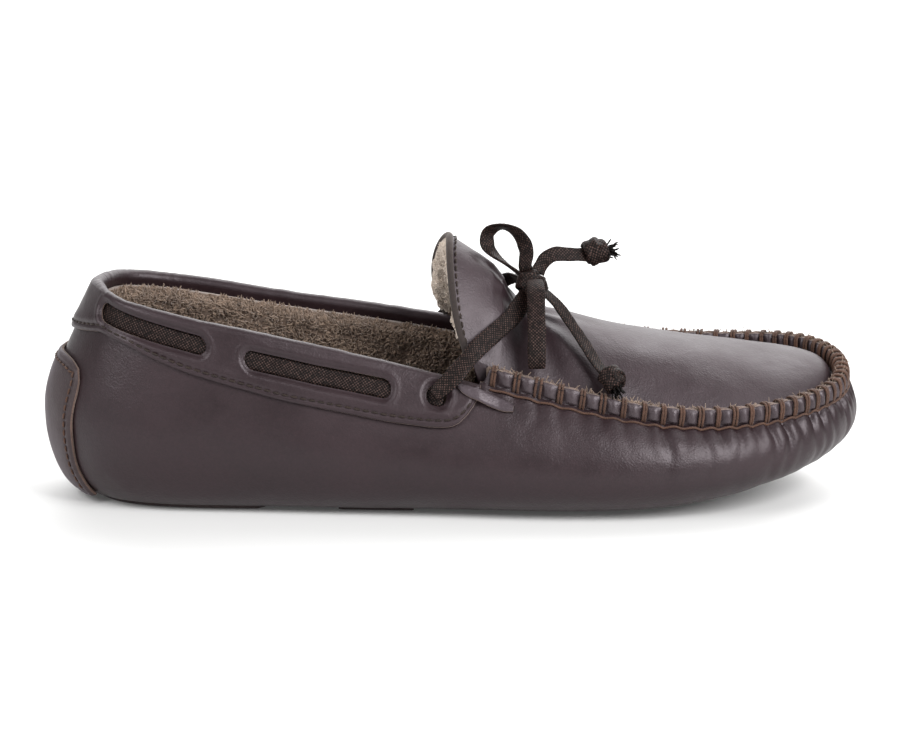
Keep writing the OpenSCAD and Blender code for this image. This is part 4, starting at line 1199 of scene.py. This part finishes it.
done(tubes("apron_overcast_stitches", stitch_lines(), 0.46, THREAD, sides=8, step=0.42), "shoe", "thread", "apron_stitches")
g_ = np.random.default_rng(23)
fuzz = []
for uf in np.concatenate([g_.uniform(6.02, 8.2, 150), g_.uniform(8.2, 17.9, 230)]):
    a0 = rp(uf, g_.uniform(1.2, 2.2), 4.6)
    d0 = np.array([g_.normal(), g_.normal(), 1.1 + g_.random()]) * 0.9
    d1 = g_.normal(size=3) * 0.5
    fuzz.append([a0 + d0 * f * 1.35 + d1 * f * f for f in np.linspace(0, 1, 5)])
done(tubes("ridge_fuzz", fuzz, 0.11, TUFT_SHADED, sides=4, step=0.5, plies=0, taper=True), "shoe", "fleece")
us_ = np.linspace(6.02, 17.98, 1500)
vs_ = 0.968 + 0 * us_
seam = pt(us_, vs_, puckers(us_, 1.6 + 0 * us_) + 0.35)
done(tubes("seam_foot_thread", [seam], 0.4, THREAD, sides=8, step=0.45), "shoe", "thread", "seam_thread")


# ---------------------------------------------------------------- side tabs
TABS = np.array([[5.71, 3.2, 3.9, 2.05], [5.76, 2.8, 5, 2.05], [5.84, 2.8, 5.8, 2.05], [5.93, 2.9, 6.2, 2.05],
                 [6.02, 3, 6.5, 1], [6.12, 3.2, 6.7, 0.35], [6.2, 3.5, 6.6, 0.35], [6.27, 4.3, 6, 0.35]])


def tab(sg):
    k = 0 if sg > 0 else 2
    R = cat(TABS[k:], np.linspace(0, 7 - k, 70))
    b = np.linspace(0, 1, 18)
    u = R[:, :1] * sg + 0 * b
    v = vz(u, ztop(u) - R[:, 1:2] - (R[:, 2:3] - R[:, 1:2]) * b)
    e = np.minimum(b, 1 - b)[None] * (R[:, 2:3] - R[:, 1:2])
    off = R[:, 3:] + 1.15 - 0.45 * np.exp(-(e / 0.35) ** 2) + 0.04 * noise(pt(u, v), 7, 55)
    T, B = pt(u, v, off), pt(u, v, R[:, 3:] + 0 * b)
    if sg > 0:
        T, B = T[:, ::-1], B[:, ::-1]
    side_name = "lateral" if sg > 0 else "medial"
    # the tabs take the lighter tab leather, a painted highlight
    return shell("side_tab_strip_" + side_name, T, B, [TAB_LIT, FLESH, SUEDE], edge=2, under=1)


done(tab(1), "shoe", "upper_leather", "side_tab_lateral")
done(tab(-1), "shoe", "upper_leather", "side_tab_medial")


# ---------------------------------------------------------------- fleece
def tufts(name, P, N, n, length, width, mat_, seed, lean_=0.6, up=None):
    """short curled locks rooted at random points of the grid P with normals N"""
    g = np.random.default_rng(seed)
    b = P.shape[1]
    # area weights
    area = np.linalg.norm(np.cross(P[1:, :-1] - P[:-1, :-1], P[:-1, 1:] - P[:-1, :-1]), axis=-1)
    w = area.ravel() / area.sum()
    c = g.choice(len(w), n, p=w)
    i, j = c // (b - 1), c % (b - 1)
    fx, fy = g.random(n)[:, None], g.random(n)[:, None]
    root = (P[i, j] * (1 - fx) * (1 - fy) + P[i + 1, j] * fx * (1 - fy)
            + P[i, j + 1] * (1 - fx) * fy + P[i + 1, j + 1] * fx * fy)
    nn = N[i, j]
    # neighbouring locks lie the same way, so the pile parts into clumps
    way = np.stack([noise(root, 4.5, seed + 11 + k, 2) for k in range(3)], 1) * 1.6 + g.normal(size=(n, 3)) * 0.45
    if up is not None:
        way = way + np.array(up)
    q = way - (way * nn).sum(1, keepdims=True) * nn
    q /= np.maximum(1e-6, np.linalg.norm(q, axis=1, keepdims=True))
    side_ = np.cross(nn, q)
    ln = (length * g.uniform(0.55, 1.15, n))[:, None]
    wd = (width * g.uniform(0.6, 1.3, n))[:, None]
    ph = g.uniform(0, 2 * pi, n)[:, None]
    turn = g.uniform(3.0, 6.0, n)[:, None]
    S = 7
    C = []
    for k in range(S):
        f = k / (S - 1)
        amp = ln * 0.16 * math.sin(pi * min(1, f + 0.15))
        C.append(root - nn * 0.5 + nn * ln * (0.85 * f - 0.42 * f * f) + q * ln * lean_ * f
                 + amp * (np.cos(ph + turn * f) * side_ + np.sin(ph + turn * f) * q * 0.7))
    C = np.stack(C, 1)
    T = np.gradient(C, axis=1)
    T /= np.linalg.norm(T, axis=-1, keepdims=True)
    e1 = np.cross(T, nn[:, None])
    e1 /= np.maximum(1e-6, np.linalg.norm(e1, axis=-1, keepdims=True))
    e2 = np.cross(T, e1)
    V = []
    for k in range(S):
        f = k / (S - 1)
        r = wd * (0.55 + 0.25 * math.sin(pi * f) - 0.4 * f) if k < S - 1 else wd * 0.06
        for th in (0, 2 * pi / 3, 4 * pi / 3):
            V.append(C[:, k] + r * (math.cos(th) * e1[:, k] + math.sin(th) * e2[:, k]))
    V = np.stack(V, 1)
    m = S * 3
    F = []
    base = (np.arange(n) * m)[:, None]
    for k in range(S - 1):
        for t in range(3):
            F.append(base + np.array([[k * 3 + t, k * 3 + (t + 1) % 3, k * 3 + 3 + (t + 1) % 3, k * 3 + 3 + t]]))
    tri = np.concatenate([base + np.array([[2, 1, 0]]), base + np.array([[m - 3, m - 2, m - 1]])])
    return new_mesh(name, V.reshape(-1, 3), [np.concatenate(F), tri], [mat_])


def clumps(P, seed, a=1.0):
    c = noise(P, 5.5, seed, 2)
    r = 1 - np.abs(noise(P, 3.2, seed + 5, 2))
    return a * (0.9 * c + 1.1 * (r - 0.6) + 0.3 * noise(P, 1.2, seed + 9, 1))


DENS = 1.0


# the lining pieces from here on take the dark fleece copy (painted shade), the tongue the light copy (painted light)
def fleece_quarters():
    us = np.linspace(6.0, -6.0, 420)
    v0 = 0.19
    top = vz(us, ztop(us) - 4.4)
    f = np.linspace(0, 1, 90)
    UU = us[:, None] + 0 * f
    VV = v0 + (top[:, None] - v0) * f
    rnd = smooth(0.93, 1.0, f)
    off = -8.0 + 2.6 * rnd[None] ** 1.5
    P0 = pt(UU, VV, off)
    D = clumps(P0, 61)
    T = pt(UU, VV, off - 0.6)
    N = normals(T)
    T = T + (D * smooth(1.0, 0.97, f)[None] * 0.9)[..., None] * N
    back = -1.9 - 1.7 * np.maximum(1 - smooth(2.7, 3.6, np.abs(UU)), smooth(0.1, 0.5, f[None]))
    B = pt(UU, VV, back)
    ob = shell("quarter_fleece", T, B, [FLEECE_SHADED])
    return ob, T, N


fq, FT_, FN_ = fleece_quarters()
done(fq, "shoe", "fleece", "lining_quarters")
up_ = slice(24, 90)
tq = tufts("quarter_fleece_locks", FT_[:, up_], FN_[:, up_], int(19000 * DENS), 3.2, 0.5, TUFT_SHADED, 71, up=(0, 0, 0.4))
done(tq, "shoe", "fleece")
te = tufts("fleece_edge_locks", FT_[:, 84:90], FN_[:, 84:90], int(3000 * DENS), 3.0, 0.45, TUFT_SHADED, 72, lean_=0.7, up=(0, 0, 0.8))
done(te, "shoe", "fleece")
nr = FT_.shape[0]
tl = tufts("fleece_over_rim", FT_[int(nr * 0.09):int(nr * 0.28), 85:90], FN_[int(nr * 0.09):int(nr * 0.28), 85:90], 170, 4.9, 0.42, TUFT_SHADED, 73,
           lean_=0.85, up=(0, 0.5, 1.6))
done(tl, "shoe", "fleece")


def fleece_tongue():
    R = np.sin(np.linspace(-pi / 2, pi / 2, 130)) * 0.93
    s = np.linspace(0.04, 1.01, 90)
    S_, R_ = np.meshgrid(s, R, indexing="ij")
    e = np.minimum(np.sqrt(np.clip((1.012 - S_) / 0.09, 0, 1)), np.sqrt(np.clip((0.95 - np.abs(R_)) / 0.12, 0, 1)))
    P = tgn(S_, R_, -(1.9 + 5.4 * e))
    N = -normals(P)
    D = clumps(P, 81, 1.3)
    T = P + (D * smooth(0, 0.4, e))[..., None] * N
    B = tgn(S_, R_, -1.75)
    return T, B, N


T_, B_, N_ = fleece_tongue()
# the tongue takes the light copy of the fleece colour, painted light
ft = shell("tongue_fleece", T_[:, ::-1], B_[:, ::-1], [FLEECE_LIT])
done(ft, "tongue_flap", "tongue_fleece", "tongue_lining")
tt_ = tufts("tongue_fleece_locks", T_[24:-1, 2:-2], N_[24:-1, 2:-2], int(7500 * DENS), 3.4, 0.45, TUFT_LIT, 91)
done(tt_, "tongue_flap", "tongue_fleece")


def fleece_front():
    us = np.linspace(17.9, 6.1, 330)
    v = np.linspace(0.19, 0.86, 40)
    UU, VV = np.meshgrid(us, v, indexing="ij")
    P0 = pt(UU, VV, -5.8)
    T = pt(UU, VV, -5.8)
    N = normals(T)
    T = T + (clumps(P0, 101, 0.5))[..., None] * N
    return shell("forepart_fleece", T, pt(UU, VV, -1.95), [FLEECE_SHADED])


ff = done(fleece_front(), "shoe", "fleece", "lining_forepart")


def fleece_apron():
    R = np.linspace(-0.84, 0.84, 60)
    u = np.linspace(6.67, 11.3, 70)
    UU, RR = np.meshgrid(u, R, indexing="ij")
    P0 = ap(UU, RR, -5.0)
    N = -normals(P0)
    T = P0 + clumps(P0, 111, 0.4)[..., None] * N
    return shell("apron_fleece", T[:, ::-1], ap(UU, RR, -1.9)[:, ::-1], [FLEECE_SHADED])


fa = done(fleece_apron(), "shoe", "fleece", "apron_lining")


def footbed():
    un = np.linspace(0.12, 11.88, 300)
    ins = 5 + 0.3 * spl(ST, un)[:, 3]
    a = bp(un, ins, 0)
    b = bp(24 - un, 5 + 0.3 * spl(ST, 24 - un)[:, 3], 0)
    t = 0.5 + 0.5 * np.sin(np.linspace(-pi / 2, pi / 2, 90))
    P = a[:, None] + (b - a)[:, None] * t[None, :, None]
    e = np.minimum(t, 1 - t)[None] * np.linalg.norm(b - a, axis=1)[:, None]
    ends = np.minimum(np.arange(300), np.arange(300)[::-1])[:, None] * 0.9
    ed = np.sqrt(np.clip(np.minimum(e, ends) / 3.0, 0, 1))
    zb = zbot(P[..., 0])
    T = P.copy()
    T[..., 2] = zb + 6.2 + 1.6 * ed
    D = clumps(T, 121, 0.45)
    T[..., 2] += D * ed - 0.3
    B = P.copy()
    B[..., 2] = zb + 4.0
    return shell("fleece_footbed", T, B, [FLEECE_SHADED]), T


fb, FBT = footbed()
done(fb, "shoe", "footbed_fleece", "footbed")
tb = tufts("footbed_locks", FBT[10:200, 6:-6], normals(FBT)[10:200, 6:-6], int(7500 * DENS), 2.8, 0.5, TUFT_SHADED, 131)
done(tb, "shoe", "footbed_fleece")


# ---------------------------------------------------------------- sole pads
def pad(name, xs, ylat, ymed, nodes):
    k = np.sin(np.linspace(-pi / 2, pi / 2, 60)) * 0.5 + 0.5
    X = xs[:, None] + 0 * k
    Y = ylat[:, None] + (ymed - ylat)[:, None] * k
    e = np.minimum(k, 1 - k)[None] * (ymed - ylat)[:, None]
    ex = np.minimum(X - xs[0], xs[-1] - X)
    d = np.minimum(e, ex)
    zb = zbot(X)
    grv = 0.35 * np.exp(-((d - 3.0) / 0.5) ** 2)
    bottom = zb - PAD + 0.5 * np.exp(-(d / 0.6) ** 2) + grv
    T = np.stack([X, Y, bottom], -1)
    B = np.stack([X, Y, zb - 0.02], -1)
    ob = shell(name, T[:, ::-1], B[:, ::-1], [SOLE])
    return done(ob, "shoe", "sole_leather", nodes)


def outline_at(x):
    un = np.linspace(0.02, 11.98, 600)
    o1 = bp(un, spl(ST, un)[:, 3] + 1, 0)
    o2 = bp(24 - un, spl(ST, 24 - un)[:, 3] + 1, 0)
    return np.interp(x, o1[:, 0], o1[:, 1]), np.interp(x, o2[:, 0], o2[:, 1])


xs = -90 + 36 * np.sin(np.linspace(-pi / 2, pi / 2, 90))
yl, ym = outline_at(xs)
cir = np.sqrt(np.maximum(0.5, 36.0 ** 2 - (xs + 90) ** 2))
pad("heel_sole_pad", xs, np.maximum(yl, -cir), np.minimum(ym, cir), "heel_pad")
xs = -25 + 13 * np.sin(np.linspace(-pi / 2, pi / 2, 50))
yl, ym = outline_at(xs)
pad("waist_sole_pad", xs, yl, ym, "waist_pad")
fx_ = np.array([6, 8, 12, 20, 30, 42, 50, 58, 66, 74, 82, 88, 92, 94], float)
fh_ = np.array([16, 19, 22, 25, 27.5, 29, 29.5, 29.5, 28.5, 26.5, 23, 19, 15, 11], float)
fc_ = np.array([-1, -1, -1, -1, -0.5, 0, 0.5, 1, 2, 3, 4, 5, 5.5, 6], float)
xs = 50 + 44 * np.sin(np.linspace(-pi / 2, pi / 2, 120))
h_, c_ = np.interp(xs, fx_, fh_), np.interp(xs, fx_, fc_)
pad("forefoot_sole_pad", xs, c_ - h_, c_ + h_, "forefoot_pad")

# hidden pieces keep their CAD shape
for name, m_ in (("insole_board", BOARD), ("heel_counter", COUNTER)):
    for ob in bpy.data.objects:
        if ob.type == "MESH" and ob.name.split(".")[0] == name:
            ob.data.materials.clear()
            ob.data.materials.append(m_)

# ---------------------------------------------------------------- floor, walls of light
fl = bpy.data.meshes.new("floor")
R0 = 3.0
fl.from_pydata([(-R0, -R0, -0.0002), (R0, -R0, -0.0002), (R0, R0, -0.0002), (-R0, R0, -0.0002)], [], [(0, 1, 2, 3)])
floor = bpy.data.objects.new("floor", fl)
scene.collection.objects.link(floor)
mf, nt, b = mat("pale_floor")
b.inputs["Base Color"].default_value = (0.74, 0.74, 0.735, 1)
b.inputs["Roughness"].default_value = 0.6
b.inputs["Emission Color"].default_value = (1, 0.995, 0.985, 1)
far_ = node(nt, "ShaderNodeVectorMath", {0: nt.nodes.new("ShaderNodeTexCoord").outputs["Object"]},
            operation="LENGTH")
glow = node(nt, "ShaderNodeMapRange", {"Value": far_.outputs["Value"], "From Min": 0.3, "From Max": 0.9,
                                       "To Min": 0.05, "To Max": 0.7})
nt.links.new(glow.outputs[0], b.inputs["Emission Strength"])
fl.materials.append(mf)
world = bpy.data.worlds.new("studio")
scene.world = world
world.use_nodes = True
wn = world.node_tree
wn.nodes["Background"].inputs[0].default_value = (1, 1, 1, 1)
wn.nodes["Background"].inputs[1].default_value = 0.36


def area(name, loc, at, size, power, size_y=None):
    L = bpy.data.lights.new(name, "AREA")
    L.energy = power
    L.size = size
    if size_y:
        L.shape = "RECTANGLE"
        L.size_y = size_y
    ob = bpy.data.objects.new(name, L)
    scene.collection.objects.link(ob)
    ob.location = loc
    look(ob, at)
    return ob


area("back_glow", (0.1, 1.3, 0.75), (0, 0, 0.05), 2.4, 21, 1.2)
area("top_back", (0.35, 0.65, 1.0), (0.05, 0, 0.03), 1.2, 9.0, 0.6)
area("front_right", (0.6, -0.6, 0.6), (0.1, 0, 0.03), 0.55, 11.5)
area("front_left", (-0.6, -0.5, 0.6), (-0.12, 0, 0.03), 0.5, 5)
scene.view_settings.view_transform = "Standard"
scene.view_settings.look = "None"
